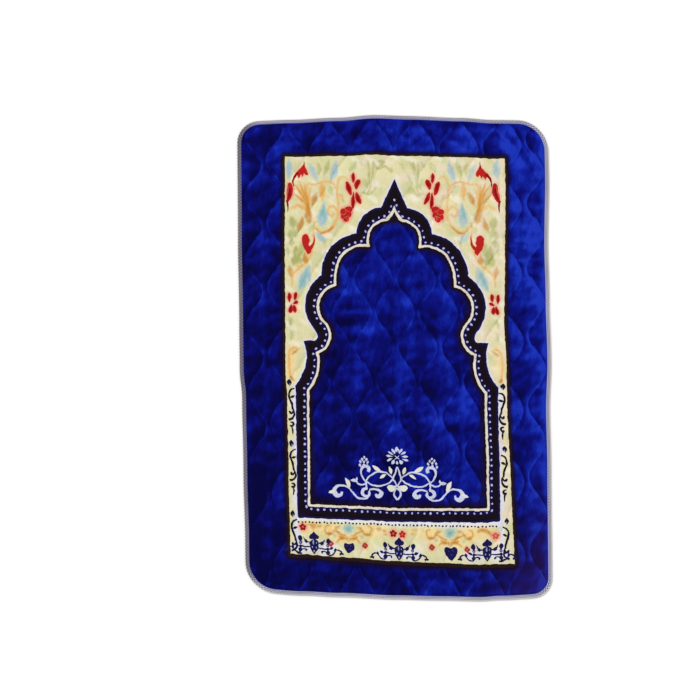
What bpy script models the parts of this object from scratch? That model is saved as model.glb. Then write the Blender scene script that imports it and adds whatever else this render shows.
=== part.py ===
"""Padded velour prayer rug, lying flat: a quilted pad with a braid sewn round its rim.

Metres, +Z up.  The rug lies on z = 0, its long side along Y, with the printed arch pointing to +Y.
Its outline is a rectangle with four different rounded corners and sides that wander by a few
millimetres.  The pad's face is raised between wavy stitch lines, which pair up into a lattice of
ogee cells, and a few soft creases cross it.
"""

import math

import bpy
import bmesh

# ---- driving dimensions ------------------------------------------------------------------------

PAD_WIDTH = 0.6820            # between the braid's two long runs
PAD_LENGTH = 1.0670
CORNER_RADIUS = {(-1, 1): 0.041, (1, 1): 0.062, (-1, -1): 0.072, (1, -1): 0.043}   # (side x, side y)

STITCHED_THICKNESS = 0.0045   # where a line of stitching pulls the pad down, and at its rim
PILLOW_RISE = 0.0055          # the middle of the widest cell above the stitching
RIM_FALL = 0.022              # the pillows sink to the rim's thickness over this width

QUILT_PITCH = 0.0976          # across the rug, from one cell to the next of the same row
QUILT_SWING = 0.0192          # a stitch line swings this far to each side
QUILT_CENTRE_X = 0.0016       # the middle column of cells
QUILT_FIRST_NECK_Y = 0.469    # the top neck of that column
QUILT_REPEAT = 0.1413         # length of the first cell below that neck ...
QUILT_REPEAT_GROWTH = 0.00236   # ... and the growth of each repeat below it
QUILT_DRIFT = 0.022           # rows sit lower at the left side and higher at the right
QUILT_DRIFT_REACH = 0.290     # the x at which the drift has that size

BRAID_WIDTH = 0.0095
BRAID_GAP = 0.0003            # clearance between the pad's wall and the braid

CELL_STEPS = (0.0, 0.15, 0.5, 0.85)     # columns of points across one band between stitch lines
EDGE_STEPS = (0.0, 0.3, 0.65)           # the same across a band at the rug's side
ROW_COUNT = 64                # rows of points between the two end rows
END_ROWS = (0.007, 0.015)     # two closer rows at each end, from the rim

# How far each side stands out from the straight rectangle: place along the side, offset outwards.
LEFT_SIDE = ((0.533, 0.0070), (0.276, 0.0055), (0.072, 0.0025), (-0.029, 0.0015), (-0.097, -0.0040),
             (-0.267, -0.0070), (-0.437, -0.0110), (-0.533, -0.0130))
RIGHT_SIDE = ((0.533, -0.0040), (0.400, -0.0020), (0.265, -0.0048), (0.140, -0.0010),
              (-0.011, 0.0034), (-0.109, 0.0000), (-0.250, 0.0030), (-0.533, 0.0055))
TOP_SIDE = ((0.341, -0.0060), (0.231, -0.0045), (0.150, 0.0005), (0.041, 0.0045), (-0.040, 0.0070),
            (-0.122, 0.0010), (-0.231, -0.0040), (-0.341, -0.0080))
BOTTOM_SIDE = ((0.341, -0.0010), (0.230, 0.0040), (0.188, 0.0068), (0.100, 0.0050), (-0.002, 0.0030),
               (-0.138, -0.0026), (-0.219, -0.0063), (-0.341, -0.0140))

# Soft troughs in the face: from x, y to x, y; depth; half width.
CREASES = (
    (0.050, 0.158, 0.051, -0.010, 0.0022, 0.011),     # upright, right of the middle
    (0.044, -0.060, 0.018, -0.200, 0.0034, 0.014),    # the long slanted one below it
    (-0.125, 0.108, -0.075, 0.106, 0.0020, 0.010),    # two short ones across a cell
    (-0.125, 0.074, -0.075, 0.070, 0.0020, 0.010),
    (0.250, 0.505, 0.300, 0.440, 0.0028, 0.014),      # across the upper right corner
    (-0.302, -0.270, -0.300, -0.455, 0.0024, 0.012),  # along the lower left margin
)

# The braid's cross-section: share of its width out from the pad, height.
BRAID_SECTION = ((0.0, 0.0), (0.92, 0.0), (1.0, 0.0026), (0.78, 0.0056), (0.32, 0.0063), (0.0, 0.0046))

BLUE = (0.012, 0.030, 0.300, 1.0)
BRAID_GREY = (0.50, 0.47, 0.50, 1.0)


# ---- outline -----------------------------------------------------------------------------------

def wander(side, place):
    """Offset of a side at a place along it: smooth steps between the rows of its table."""
    if place >= side[0][0]:
        return side[0][1]
    for (high, offset_high), (low, offset_low) in zip(side, side[1:]):
        if place >= low:
            share = (place - low) / (high - low)
            share = share * share * (3 - 2 * share)
            return offset_low + (offset_high - offset_low) * share
    return side[-1][1]


def round_corner(x, y):
    """Squeeze the square at a corner of the plain rectangle into its quarter disc."""
    side_x = -1 if x < 0 else 1
    side_y = -1 if y < 0 else 1
    radius = CORNER_RADIUS[side_x, side_y]
    start_x = PAD_WIDTH / 2 - radius
    start_y = PAD_LENGTH / 2 - radius
    across = (abs(x) - start_x) / radius
    along = (abs(y) - start_y) / radius
    if across <= 0 or along <= 0:
        return x, y
    disc_across = across * math.sqrt(1 - along * along / 2)
    disc_along = along * math.sqrt(1 - across * across / 2)
    return side_x * (start_x + disc_across * radius), side_y * (start_y + disc_along * radius)


def place_on_rug(x, y):
    """Carry a point of the plain rectangle to the rug: rounded corners, then uneven sides."""
    x, y = round_corner(x, y)
    right = (x + PAD_WIDTH / 2) / PAD_WIDTH
    top = (y + PAD_LENGTH / 2) / PAD_LENGTH
    shift_x = right * wander(RIGHT_SIDE, y) - (1 - right) * wander(LEFT_SIDE, y)
    shift_y = top * wander(TOP_SIDE, x) - (1 - top) * wander(BOTTOM_SIDE, x)
    return x + shift_x, y + shift_y


def rim_loop():
    """Points round the pad's rim, anticlockwise from its lower left corner."""
    ends = row_places()
    bottom = [(x, ends[0]) for x, _, _ in face_row(ends[0])]
    top = [(x, ends[-1]) for x, _, _ in face_row(ends[-1])]
    right = [(PAD_WIDTH / 2, y) for y in ends[1:-1]]
    left = [(-PAD_WIDTH / 2, y) for y in ends[1:-1]]
    return [place_on_rug(x, y) for x, y in bottom + right + top[::-1] + left[::-1]]


def step_out(loop, reach):
    """The same loop moved outwards by an even distance."""
    moved = []
    for before, here, after in zip(loop[-1:] + loop[:-1], loop, loop[1:] + loop[:1]):
        run_in = math.atan2(here[1] - before[1], here[0] - before[0])
        run_out = math.atan2(after[1] - here[1], after[0] - here[0])
        turn = (run_out - run_in + math.pi) % (2 * math.pi) - math.pi
        outwards = run_in + turn / 2 - math.pi / 2
        length = reach / math.cos(turn / 2)
        moved.append((here[0] + length * math.cos(outwards), here[1] + length * math.sin(outwards)))
    return moved


# ---- quilting ----------------------------------------------------------------------------------

def quilt_turns(x, y):
    """Whole numbers at the necks of the middle column, halves at its widest places."""
    down = QUILT_FIRST_NECK_Y - y + QUILT_DRIFT * (x / QUILT_DRIFT_REACH) ** 3
    root = math.sqrt(QUILT_REPEAT ** 2 + 4 * QUILT_REPEAT_GROWTH * down)
    return (root - QUILT_REPEAT) / (2 * QUILT_REPEAT_GROWTH)


def stitch_lines(y):
    """Where the stitch lines cross the height y, from left to right."""
    count = 2 * round(PAD_WIDTH / QUILT_PITCH)
    crossings = []
    for line in range(-count // 2, count // 2):
        rest = QUILT_CENTRE_X + (line + 0.5) * QUILT_PITCH / 2
        swing = QUILT_SWING if line % 2 else -QUILT_SWING
        crossings.append(rest + swing * math.cos(2 * math.pi * quilt_turns(rest, y)))
    return crossings


def pillow(share, band_width):
    """Height above the stitching at a share of the way across a band of this width."""
    widest = QUILT_PITCH / 2 + 2 * QUILT_SWING
    crown = (4 * share * (1 - share)) ** 0.6
    return PILLOW_RISE * crown * math.sqrt(min(band_width / widest, 1.0))


def crease_depth(x, y):
    """Depth of the soft troughs at a point of the face."""
    depth = 0.0
    for x1, y1, x2, y2, deepest, half_width in CREASES:
        run_x, run_y = x2 - x1, y2 - y1
        share = ((x - x1) * run_x + (y - y1) * run_y) / (run_x ** 2 + run_y ** 2)
        share = min(max(share, 0.0), 1.0)
        away = math.hypot(x - x1 - share * run_x, y - y1 - share * run_y)
        depth += deepest * math.exp(-(away / half_width) ** 2)
    return depth


def face_height(x, y, raised):
    """Height of the face over the floor, where the quilting raises it by `raised`."""
    from_rim = min(PAD_WIDTH / 2 - abs(x), PAD_LENGTH / 2 - abs(y))
    rim = min(max(from_rim / RIM_FALL, 0.0), 1.0)
    rim = math.sqrt(rim * (2 - rim))
    return STITCHED_THICKNESS + rim * max(raised - crease_depth(x, y), -0.0012)


# ---- meshes ------------------------------------------------------------------------------------

def face_row(y):
    """One row of the face's points in the plain rectangle: (x, y, height)."""
    lines = [-PAD_WIDTH / 2] + stitch_lines(y) + [PAD_WIDTH / 2]
    last = len(lines) - 2
    row = []
    for band, (left, right) in enumerate(zip(lines, lines[1:])):
        if band == 0:
            steps = EDGE_STEPS
        elif band == last:
            steps = (0.0,) + tuple(1 - step for step in reversed(EDGE_STEPS[1:]))
        else:
            steps = CELL_STEPS
        for share in steps:
            x = left + (right - left) * share
            crown = 0.5 + share / 2 if band == 0 else share / 2 if band == last else share
            row.append((x, y, face_height(x, y, pillow(crown, right - left))))
    row.append((PAD_WIDTH / 2, y, STITCHED_THICKNESS))
    return row


def row_places():
    """The y of every row of points, from the bottom end to the top end."""
    half = PAD_LENGTH / 2
    inner = half - END_ROWS[-1]
    places = [-half, -half + END_ROWS[0]]
    places += [-inner + 2 * inner * i / ROW_COUNT for i in range(ROW_COUNT + 1)]
    return places + [half - END_ROWS[0], half]


def new_object(name, bm, colour, roughness):
    """Turn a bmesh into a named object with its own material."""
    mesh = bpy.data.meshes.new(name)
    bm.to_mesh(mesh)
    bm.free()
    material = bpy.data.materials.new(name)
    material.use_nodes = True
    shader = material.node_tree.nodes["Principled BSDF"]
    shader.inputs["Base Color"].default_value = colour
    shader.inputs["Roughness"].default_value = roughness
    shader.inputs["Metallic"].default_value = 0.0
    mesh.materials.append(material)
    mesh.shade_smooth()
    mesh.set_sharp_from_angle(angle=math.radians(50))
    new = bpy.data.objects.new(name, mesh)
    bpy.context.scene.collection.objects.link(new)
    return new


def make_pad(middle):
    """The quilted pad: raised face, upright rim and one flat underside on the floor."""
    bm = bmesh.new()
    grid = []
    for y in row_places():
        row = []
        for x, y_row, height in face_row(y):
            rug_x, rug_y = place_on_rug(x, y_row)
            row.append(bm.verts.new((rug_x - middle[0], rug_y - middle[1], height)))
        grid.append(row)
    for below, above in zip(grid, grid[1:]):
        for i in range(len(below) - 1):
            bm.faces.new((below[i], below[i + 1], above[i + 1], above[i]))
    rim = grid[0] + [row[-1] for row in grid[1:-1]]
    rim += grid[-1][::-1] + [row[0] for row in grid[-2:0:-1]]
    foot = [bm.verts.new((vert.co.x, vert.co.y, 0.0)) for vert in rim]
    for i in range(len(rim)):
        j = (i + 1) % len(rim)
        bm.faces.new((rim[j], rim[i], foot[i], foot[j]))
    bm.faces.new(foot[::-1])
    return new_object("quilted_pad", bm, BLUE, 0.85)


def make_braid(loop, middle):
    """The braid: one section swept along the pad's rim."""
    bm = bmesh.new()
    runs = []
    for share, height in BRAID_SECTION:
        run = step_out(loop, BRAID_GAP + share * BRAID_WIDTH)
        runs.append([bm.verts.new((x - middle[0], y - middle[1], height)) for x, y in run])
    for run, beside in zip(runs, runs[1:] + runs[:1]):
        for i in range(len(run)):
            j = (i + 1) % len(run)
            bm.faces.new((run[i], beside[i], beside[j], run[j]))
    bmesh.ops.recalc_face_normals(bm, faces=bm.faces)
    return new_object("edge_braid", bm, BRAID_GREY, 0.75)


def middle_of(loop):
    """Middle of the box round the braid's outer edge, which goes to the origin."""
    xs, ys = zip(*step_out(loop, BRAID_GAP + BRAID_WIDTH))
    return (min(xs) + max(xs)) / 2, (min(ys) + max(ys)) / 2


def main():
    for old in list(bpy.data.objects):
        bpy.data.objects.remove(old, do_unlink=True)
    loop = rim_loop()
    middle = middle_of(loop)
    make_pad(middle)
    make_braid(loop, middle)


main()
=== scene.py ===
import math

import bpy
import numpy as np
from mathutils.geometry import delaunay_2d_cdt
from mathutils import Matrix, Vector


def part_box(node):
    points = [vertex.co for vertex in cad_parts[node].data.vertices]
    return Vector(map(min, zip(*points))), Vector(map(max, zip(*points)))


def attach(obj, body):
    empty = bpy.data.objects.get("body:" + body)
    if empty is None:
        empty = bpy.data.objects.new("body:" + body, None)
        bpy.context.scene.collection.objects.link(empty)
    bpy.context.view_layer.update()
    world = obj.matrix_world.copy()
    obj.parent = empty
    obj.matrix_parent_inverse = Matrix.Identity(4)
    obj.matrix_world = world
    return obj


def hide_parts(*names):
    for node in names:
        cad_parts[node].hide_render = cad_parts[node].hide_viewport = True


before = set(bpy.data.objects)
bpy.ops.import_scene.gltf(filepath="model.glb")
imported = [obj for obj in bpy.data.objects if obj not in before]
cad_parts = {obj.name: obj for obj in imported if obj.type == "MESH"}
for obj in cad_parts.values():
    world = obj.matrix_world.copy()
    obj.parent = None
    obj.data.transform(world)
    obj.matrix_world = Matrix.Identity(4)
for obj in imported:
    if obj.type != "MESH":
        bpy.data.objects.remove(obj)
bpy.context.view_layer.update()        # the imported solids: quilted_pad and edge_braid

scene = bpy.context.scene

# The rug is first drawn as a plain rectangle, in millimetres from its middle, +y towards the arch's tip.
# carryToRug then gives every point its place on the real, uneven rug, in metres.
mm = 0.001


# form of the rug

rug = {
    "width": 682.0,                 # between the braid's two long runs
    "length": 1067.0,
    "cornerRadius": {(-1, 1): 41.0, (1, 1): 60.0, (-1, -1): 58.0, (1, -1): 36.0},
    # how far each side stands out from the straight rectangle: place along the side, offset
    "leftSide": ((533, 7.0), (276, 5.5), (72, 2.5), (-29, 1.5), (-97, -4.0), (-267, -7.0), (-437, -11.0),
                 (-533, -13.0)),
    "rightSide": ((533, -2.8), (400, -0.4), (265, -2.4), (140, 0.6), (-11, 4.8), (-109, 1.6), (-250, 4.6),
                  (-533, 7.0)),
    "topSide": ((341, -6.0), (231, -4.5), (150, 0.5), (41, 4.5), (-40, 7.0), (-122, 1.0), (-231, -4.0),
                (-341, -8.0)),
    "bottomSide": ((341, 2.5), (230, 7.5), (188, 10.3), (100, 8.5), (-2, 6.5), (-138, 0.9), (-219, -2.8),
                   (-341, -10.5)),
}


def wander(side, place):
    # smooth steps between the rows of a side's table
    places = np.array([row[0] for row in side[::-1]])
    offsets = np.array([row[1] for row in side[::-1]])
    step = np.clip(np.searchsorted(places, place, side="right") - 1, 0, len(places) - 2)
    share = np.clip((place - places[step]) / (places[step + 1] - places[step]), 0, 1)
    share = share * share * (3 - 2 * share)
    return offsets[step] + (offsets[step + 1] - offsets[step]) * share


def unevenRug(x, y):
    # squeeze each square corner into its quarter disc, then let the four sides wander
    roundX, roundY = x.copy(), y.copy()
    for (sideX, sideY), radius in rug["cornerRadius"].items():
        startX = rug["width"] / 2 - radius
        startY = rug["length"] / 2 - radius
        across = (x * sideX - startX) / radius
        along = (y * sideY - startY) / radius
        atCorner = (across > 0) & (along > 0)
        discAcross = across * np.sqrt(np.maximum(1 - along * along / 2, 0))
        discAlong = along * np.sqrt(np.maximum(1 - across * across / 2, 0))
        roundX = np.where(atCorner, sideX * (startX + discAcross * radius), roundX)
        roundY = np.where(atCorner, sideY * (startY + discAlong * radius), roundY)
    x, y = roundX, roundY
    right = x / rug["width"] + 0.5
    top = y / rug["length"] + 0.5
    shiftX = right * wander(rug["rightSide"], y) - (1 - right) * wander(rug["leftSide"], y)
    shiftY = top * wander(rug["topSide"], x) - (1 - top) * wander(rug["bottomSide"], x)
    return x + shiftX, y + shiftY


def rimPoints(spacing):
    # once round the plain rectangle, anticlockwise from its lower left corner
    halfX, halfY = rug["width"] / 2, rug["length"] / 2
    acrossCount = round(rug["width"] / spacing)
    alongCount = round(rug["length"] / spacing)
    across = np.linspace(-halfX, halfX, acrossCount + 1)[:-1]
    along = np.linspace(-halfY, halfY, alongCount + 1)[:-1]
    x = np.concatenate([across, np.full(alongCount, halfX), -across, np.full(alongCount, -halfX)])
    y = np.concatenate([np.full(acrossCount, -halfY), along, np.full(acrossCount, halfY), -along])
    return x, y


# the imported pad's box says where the drawing lies in the frame: its left and top sides stay on the pad's
padLow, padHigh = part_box("quilted_pad")
rimX, rimY = unevenRug(*rimPoints(2.0))
middle = (rimX.min() - padLow[0] / mm, rimY.max() - padHigh[1] / mm)


def carryToRug(x, y):
    x, y = unevenRug(np.asarray(x, float), np.asarray(y, float))
    return (x - middle[0]) * mm, (y - middle[1]) * mm


def lumps(x, y, size, seed):
    # a smooth random field, about -1 to 1, whose lumps are about `size` across
    draw = np.random.default_rng(seed)
    total = np.zeros_like(x)
    waves = 9
    for wave in range(waves):
        turn = draw.uniform(0, 2 * math.pi)
        stretch = draw.uniform(0.7, 1.5) * math.pi / size
        start = draw.uniform(0, 2 * math.pi)
        total += np.sin((x * math.cos(turn) + y * math.sin(turn)) * stretch + start)
    return total / math.sqrt(waves * 1.4)


# quilting

quilting = {
    "stitchedThickness": 4.5,       # where a line of stitching pulls the pad down, and at its rim
    "pillowRise": 5.5,              # the middle of the widest cell above the stitching
    "rimFall": 22.0,
    "pitch": 97.6,
    "swing": 19.2,
    "centreX": 1.6,
    "firstNeckY": 469.0,
    "repeat": 141.3,
    "repeatGrowth": 2.36,
    "drift": 22.0,
    "driftReach": 290.0,
    "puckerRise": 0.35,             # small folds that run into the stitching
    "puckerLength": 9.0,
    "lumpRise": 0.30,               # uneven wadding
    # soft troughs: from x, y to x, y; depth; half width (a negative depth is a ridge)
    "creases": ((50, 158, 51, -10, 2.2, 11), (44, -60, 18, -200, 3.4, 14), (-125, 108, -75, 106, 2.0, 10),
                (-125, 74, -75, 70, 2.0, 10), (250, 505, 300, 440, 2.8, 14), (-302, -270, -300, -455, 2.4,
                                                                              12)),
    # finer wrinkles, left to this face
    "wrinkles": ((262, 262, 318, 254, 0.9, 5), (258, 226, 322, 232, 1.0, 5), (264, 190, 316, 182, 0.8, 5),
                 (-112, 92, -84, 89, 0.7, 4), (236, 512, 282, 462, -0.8, 5), (276, 512, 318, 452, 1.0, 6),
                 (-290, -280, -288, -440, -0.9, 6), (-318, -300, -314, -430, 0.7, 5), (30, -70, 6, -190,
                                                                                       -1.0, 7),
                 (-60, 240, -20, 262, 0.7, 6), (90, 60, 132, 40, 0.6, 6), (-150, -40, -120, -78, 0.6, 6),
                 (120, -120, 152, -90, 0.6, 6), (-270, 420, -262, 330, 0.8, 6), (-180, 492, -120, 500, 0.7,
                                                                                 6),
                 (80, 498, 150, 486, 0.8, 6), (-200, -500, -120, -508, 0.6, 6), (110, -498, 190, -506, 0.7,
                                                                                 6)),
}


def quiltTurns(x, y):
    # whole numbers at the necks of the middle column, halves at its widest places
    down = quilting["firstNeckY"] - y + quilting["drift"] * (x / quilting["driftReach"]) ** 3
    root = np.sqrt(quilting["repeat"] ** 2 + 4 * quilting["repeatGrowth"] * down)
    return (root - quilting["repeat"]) / (2 * quilting["repeatGrowth"])


def stitchLines(y):
    # x of every stitch line at the heights y, from left to right: one row of the result for each line
    count = 2 * round(rug["width"] / quilting["pitch"])
    rows = []
    for line in range(-count // 2, count // 2):
        rest = quilting["centreX"] + (line + 0.5) * quilting["pitch"] / 2
        swing = quilting["swing"] if line % 2 else -quilting["swing"]
        rows.append(rest + swing * np.cos(2 * math.pi * quiltTurns(rest, y)))
    return np.array(rows)


def troughDepth(rows, x, y):
    depth = np.zeros_like(x)
    for x1, y1, x2, y2, deepest, halfWidth in rows:
        runX, runY = x2 - x1, y2 - y1
        share = np.clip(((x - x1) * runX + (y - y1) * runY) / (runX ** 2 + runY ** 2), 0, 1)
        away = np.hypot(x - x1 - share * runX, y - y1 - share * runY)
        depth += deepest * np.exp(-(away / halfWidth) ** 2)
    return depth


def faceHeight(x, y):
    lines = stitchLines(y)
    halfX, halfY = rug["width"] / 2, rug["length"] / 2
    walls = np.vstack([np.full((1, len(x)), -halfX), lines, np.full((1, len(x)), halfX)])
    band = (x > lines).sum(axis=0)
    each = np.arange(len(x))
    left, right = walls[band, each], walls[band + 1, each]
    share = np.clip((x - left) / (right - left), 0, 1)
    fromStitch = np.minimum(share, 1 - share) * (right - left)
    share = np.where(band == 0, 0.5 + share / 2, np.where(band == len(lines), share / 2, share))
    widest = quilting["pitch"] / 2 + 2 * quilting["swing"]
    crown = (4 * share * (1 - share)) ** 0.6
    raised = quilting["pillowRise"] * crown * np.sqrt(np.minimum((right - left) / widest, 1))
    raised -= troughDepth(quilting["creases"] + quilting["wrinkles"], x, y)
    fold = np.sin(y / 4.2 + 3 * lumps(x, y, 45, 11)) * np.exp(-fromStitch / quilting["puckerLength"])
    raised += quilting["puckerRise"] * fold * np.clip(fromStitch / 2, 0, 1)
    raised += quilting["lumpRise"] * lumps(x, y, 26, 12)
    rim = np.clip(np.minimum(halfX - abs(x), halfY - abs(y)) / quilting["rimFall"], 0, 1)
    rim = np.sqrt(rim * (2 - rim))
    return quilting["stitchedThickness"] + rim * np.maximum(raised, -1.2)


# drawing tools for the print

def smoothCurve(points, step=2.0, closed=False):
    # a soft curve through given points, as points about `step` apart
    points = np.array(points, float)
    if closed:
        points = np.vstack([points[-1], points, points[:2]])
    else:
        points = np.vstack([2 * points[0] - points[1], points, 2 * points[-1] - points[-2]])
    curve = []
    for a, b, c, d in zip(points, points[1:], points[2:], points[3:]):
        count = max(int(np.hypot(*(c - b)) / step), 1)
        for t in np.arange(count) / count:
            curve.append(b + 0.5 * t * (c - a + t * (2 * a - 5 * b + 4 * c - d + t * (3 * (b - c) + d - a))))
    if not closed:
        curve.append(points[-2])
    return np.array(curve)


def arcPath(rows, step=3.0):
    # rows of x, y, bulge: the stretch to each point is an arc whose rise is bulge times half its chord
    path = [np.array(rows[0][:2], float)]
    for (x1, y1, _), (x2, y2, bulge) in zip(rows, rows[1:]):
        start, end = np.array((x1, y1), float), np.array((x2, y2), float)
        chord = np.hypot(*(end - start))
        count = max(int(chord * (1 + abs(bulge) * 0.6) / step), 1)
        along = (end - start) / chord
        side = np.array((-along[1], along[0]))
        for i in range(1, count + 1):
            if abs(bulge) < 0.01:
                path.append(start + (end - start) * i / count)
                continue
            half = 2 * math.atan(bulge)               # half of the angle that the arc turns
            radius = chord / 2 / math.sin(half)
            angle = half * (2 * i / count - 1)
            across = radius * math.sin(angle)
            rise = radius * (math.cos(angle) - math.cos(half))
            path.append((start + end) / 2 + along * across + side * rise)
    return np.array(path)


def mirrored(points):
    return np.array(points, float)[::-1] * (-1, 1)


def closeRing(points, step):
    # the same ring with no side longer than `step`
    ring = []
    for here, after in zip(points, np.roll(points, -1, axis=0)):
        count = max(math.ceil(np.hypot(*(after - here)) / step), 1)
        ring += [here + (after - here) * i / count for i in range(count)]
    return np.array(ring)


def sidesOf(points, closed=True):
    ends = np.roll(points, -1, axis=0) if closed else points[1:]
    return zip(points if closed else points[:-1], ends)


def sortPoints(x, y):
    # points sorted by y, so that an outline only looks at those that it passes
    order = np.argsort(y)
    return x[order], y[order], order


def insideRing(sortedPoints, ring):
    pointX, pointY, order = sortedPoints
    turns = np.zeros(len(pointX), int)
    for (x1, y1), (x2, y2) in sidesOf(ring):
        if y1 == y2:
            continue
        low, high = np.searchsorted(pointY, (min(y1, y2), max(y1, y2)))
        crossing = x1 + (pointY[low:high] - y1) / (y2 - y1) * (x2 - x1)
        turns[low:high] += np.where(pointX[low:high] < crossing, 1 if y2 > y1 else -1, 0)
    result = np.zeros(len(turns), bool)
    result[order] = turns != 0
    return result


def distanceTo(sortedPoints, run, reach, closed=True):
    # how far each point is from a run of lines, up to `reach`
    pointX, pointY, order = sortedPoints
    nearest = np.full(len(pointX), float(reach))
    for (x1, y1), (x2, y2) in sidesOf(run, closed):
        low, high = np.searchsorted(pointY, (min(y1, y2) - reach, max(y1, y2) + reach))
        runX, runY = x2 - x1, y2 - y1
        length = max(runX ** 2 + runY ** 2, 1e-9)
        dx, dy = pointX[low:high] - x1, pointY[low:high] - y1
        share = np.clip((dx * runX + dy * runY) / length, 0, 1)
        away = np.hypot(dx - share * runX, dy - share * runY)
        nearest[low:high] = np.minimum(nearest[low:high], away)
    result = np.zeros(len(nearest))
    result[order] = nearest
    return result


def offsetRing(ring, reach):
    # the ring moved outwards (or inwards, below 0) by an even distance, with its crossed-over loops cut away
    ring = closeRing(ring, 1.0)
    before, after = np.roll(ring, 1, axis=0), np.roll(ring, -1, axis=0)
    moved = []
    for a, b, c in zip(before, ring, after):
        first = math.atan2(b[1] - a[1], b[0] - a[0])
        turn = (math.atan2(c[1] - b[1], c[0] - b[0]) - first + math.pi) % (2 * math.pi) - math.pi
        fan = max(math.ceil(abs(turn) / 0.35), 1) if turn * reach > 0 else 1
        for i in range(fan + 1):
            angle = first + turn * i / fan - math.pi / 2
            moved.append(b + reach * np.array((math.cos(angle), math.sin(angle))))
    moved = np.array(moved)
    clear = distanceTo(sortPoints(moved[:, 0], moved[:, 1]), ring, abs(reach) * 2) > abs(reach) * 0.985
    moved = moved[clear]
    spaced = [moved[0]]
    for point in moved[1:]:
        if np.hypot(*(point - spaced[-1])) > 2.2:
            spaced.append(point)
    return np.array(spaced)


# motifs: outlines in their own place, pointing to +y before they are turned

def placed(points, x, y, turn=0.0):
    points = np.array(points, float)
    c, s = math.cos(math.radians(turn)), math.sin(math.radians(turn))
    return points @ np.array(((c, s), (-s, c))) + (x, y)


def leafBetween(root, tip, width, bend=0.0, belly=0.5, blunt=1.0):
    # pointed at both ends, widest at `belly` of its length, its midrib bent sideways
    root, tip = np.array(root, float), np.array(tip, float)
    length = np.hypot(*(tip - root))
    along = (tip - root) / length
    side = np.array((-along[1], along[0]))
    count = max(int(length / 2.4), 4)
    t = np.linspace(0, 1, count + 1)
    power = math.log(0.5) / math.log(belly)
    half = width / 2 * np.sin(math.pi * t ** power) ** blunt
    rib = root + np.outer(t * length, along) + np.outer(bend * np.sin(math.pi * t), side)
    ring = np.vstack([rib[:-1] - np.outer(half, side)[:-1], (rib + np.outer(half, side))[:0:-1]])
    return ring, rib[1:-1]


def dropBetween(point, end, width):
    # pointed at the first end and round at the other
    return leafBetween(point, end, width, belly=0.66, blunt=0.75)


def strokeThrough(points, widths):
    # a brush stroke: a soft curve whose width runs through the given widths
    rib = smoothCurve(points, 2.2)
    steps = np.concatenate([[0], np.cumsum(np.hypot(*np.diff(rib, axis=0).T))])
    half = np.interp(steps / steps[-1], np.linspace(0, 1, len(widths)), widths) / 2
    tangent = np.gradient(rib, axis=0)
    tangent /= np.hypot(*tangent.T)[:, None]
    side = np.stack([-tangent[:, 1], tangent[:, 0]], axis=1) * half[:, None]
    return np.vstack([rib - side, (rib + side)[::-1]]), rib[1:-1]


def disc(x, y, radius, count=10, squash=1.0, turn=0.0):
    angle = 2 * math.pi * np.arange(count) / count
    ring = np.stack([radius * np.cos(angle), radius * squash * np.sin(angle)], axis=1)
    return placed(ring, x, y, turn), None


def curl(x, y, radius, start, turn, width):
    # a stroke that winds inwards from the angle `start` and thickens towards its round end
    share = np.linspace(0, 1, 6)
    angle = np.radians(start + turn * share)
    reach = radius * (1 - 0.5 * share)
    points = np.stack([x + reach * np.cos(angle), y + reach * np.sin(angle)], axis=1)
    return strokeThrough(points, (width * 0.6, width * 0.9, width * 1.1, width * 1.3, width))


def heart(x, y, size, tall=1.0):
    # drawn 30 wide
    half = ((0, 10.6), (6, 12.8), (12, 12.2), (15, 7.5), (14.4, 0.5), (10.5, -6.5), (4.5, -12.5), (0, -15.5))
    ring = smoothCurve(half + tuple((-a, b) for a, b in half[-2:0:-1]), 2.0, True)
    return placed(ring[::-1] * (size / 30, size * tall / 30), x, y), None


# the print

dyes = {
    # as the eye sees them, 0 to 255
    "blue": (20, 11, 24),           # under the brushed blue, which the material adds
    "plum": (74, 44, 104),
    "fieldBlue": (22, 11, 14),
    "frameBlack": (38, 23, 24),
    "cream": (221, 213, 168),
    "creamWarm": (231, 215, 190),
    "creamGreen": (208, 208, 156),
    "creamPale": (235, 229, 204),
    "rimLilac": (220, 218, 236),
    "brownBlack": (24, 15, 22),
    "navyLine": (22, 22, 74),
    "band": (24, 15, 22),
    "bandBlue": (17, 14, 66),
    "creamLine": (224, 214, 198),
    "dotWhite": (180, 182, 224),
    "ornament": (200, 204, 226),
    "ornamentCream": (222, 221, 206),
    "white": (228, 227, 232),
    "red": (182, 34, 30),
    "redDark": (140, 18, 18),
    "redPale": (214, 90, 78),
    "brick": (170, 62, 44),
    "pink": (234, 142, 122),
    "navy": (26, 24, 76),
    "navyPale": (150, 156, 190),
    "heartFleck": (62, 58, 122),
    "vineBlack": (24, 22, 44),
    "gold": (228, 174, 96),
    "goldDark": (198, 136, 52),
    "goldPale": (244, 212, 142),
    "lightBlue": (162, 190, 198),
    "teal": (126, 176, 172),
    "olive": (166, 168, 96),
    "paleGreen": (188, 194, 132),
}

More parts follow.
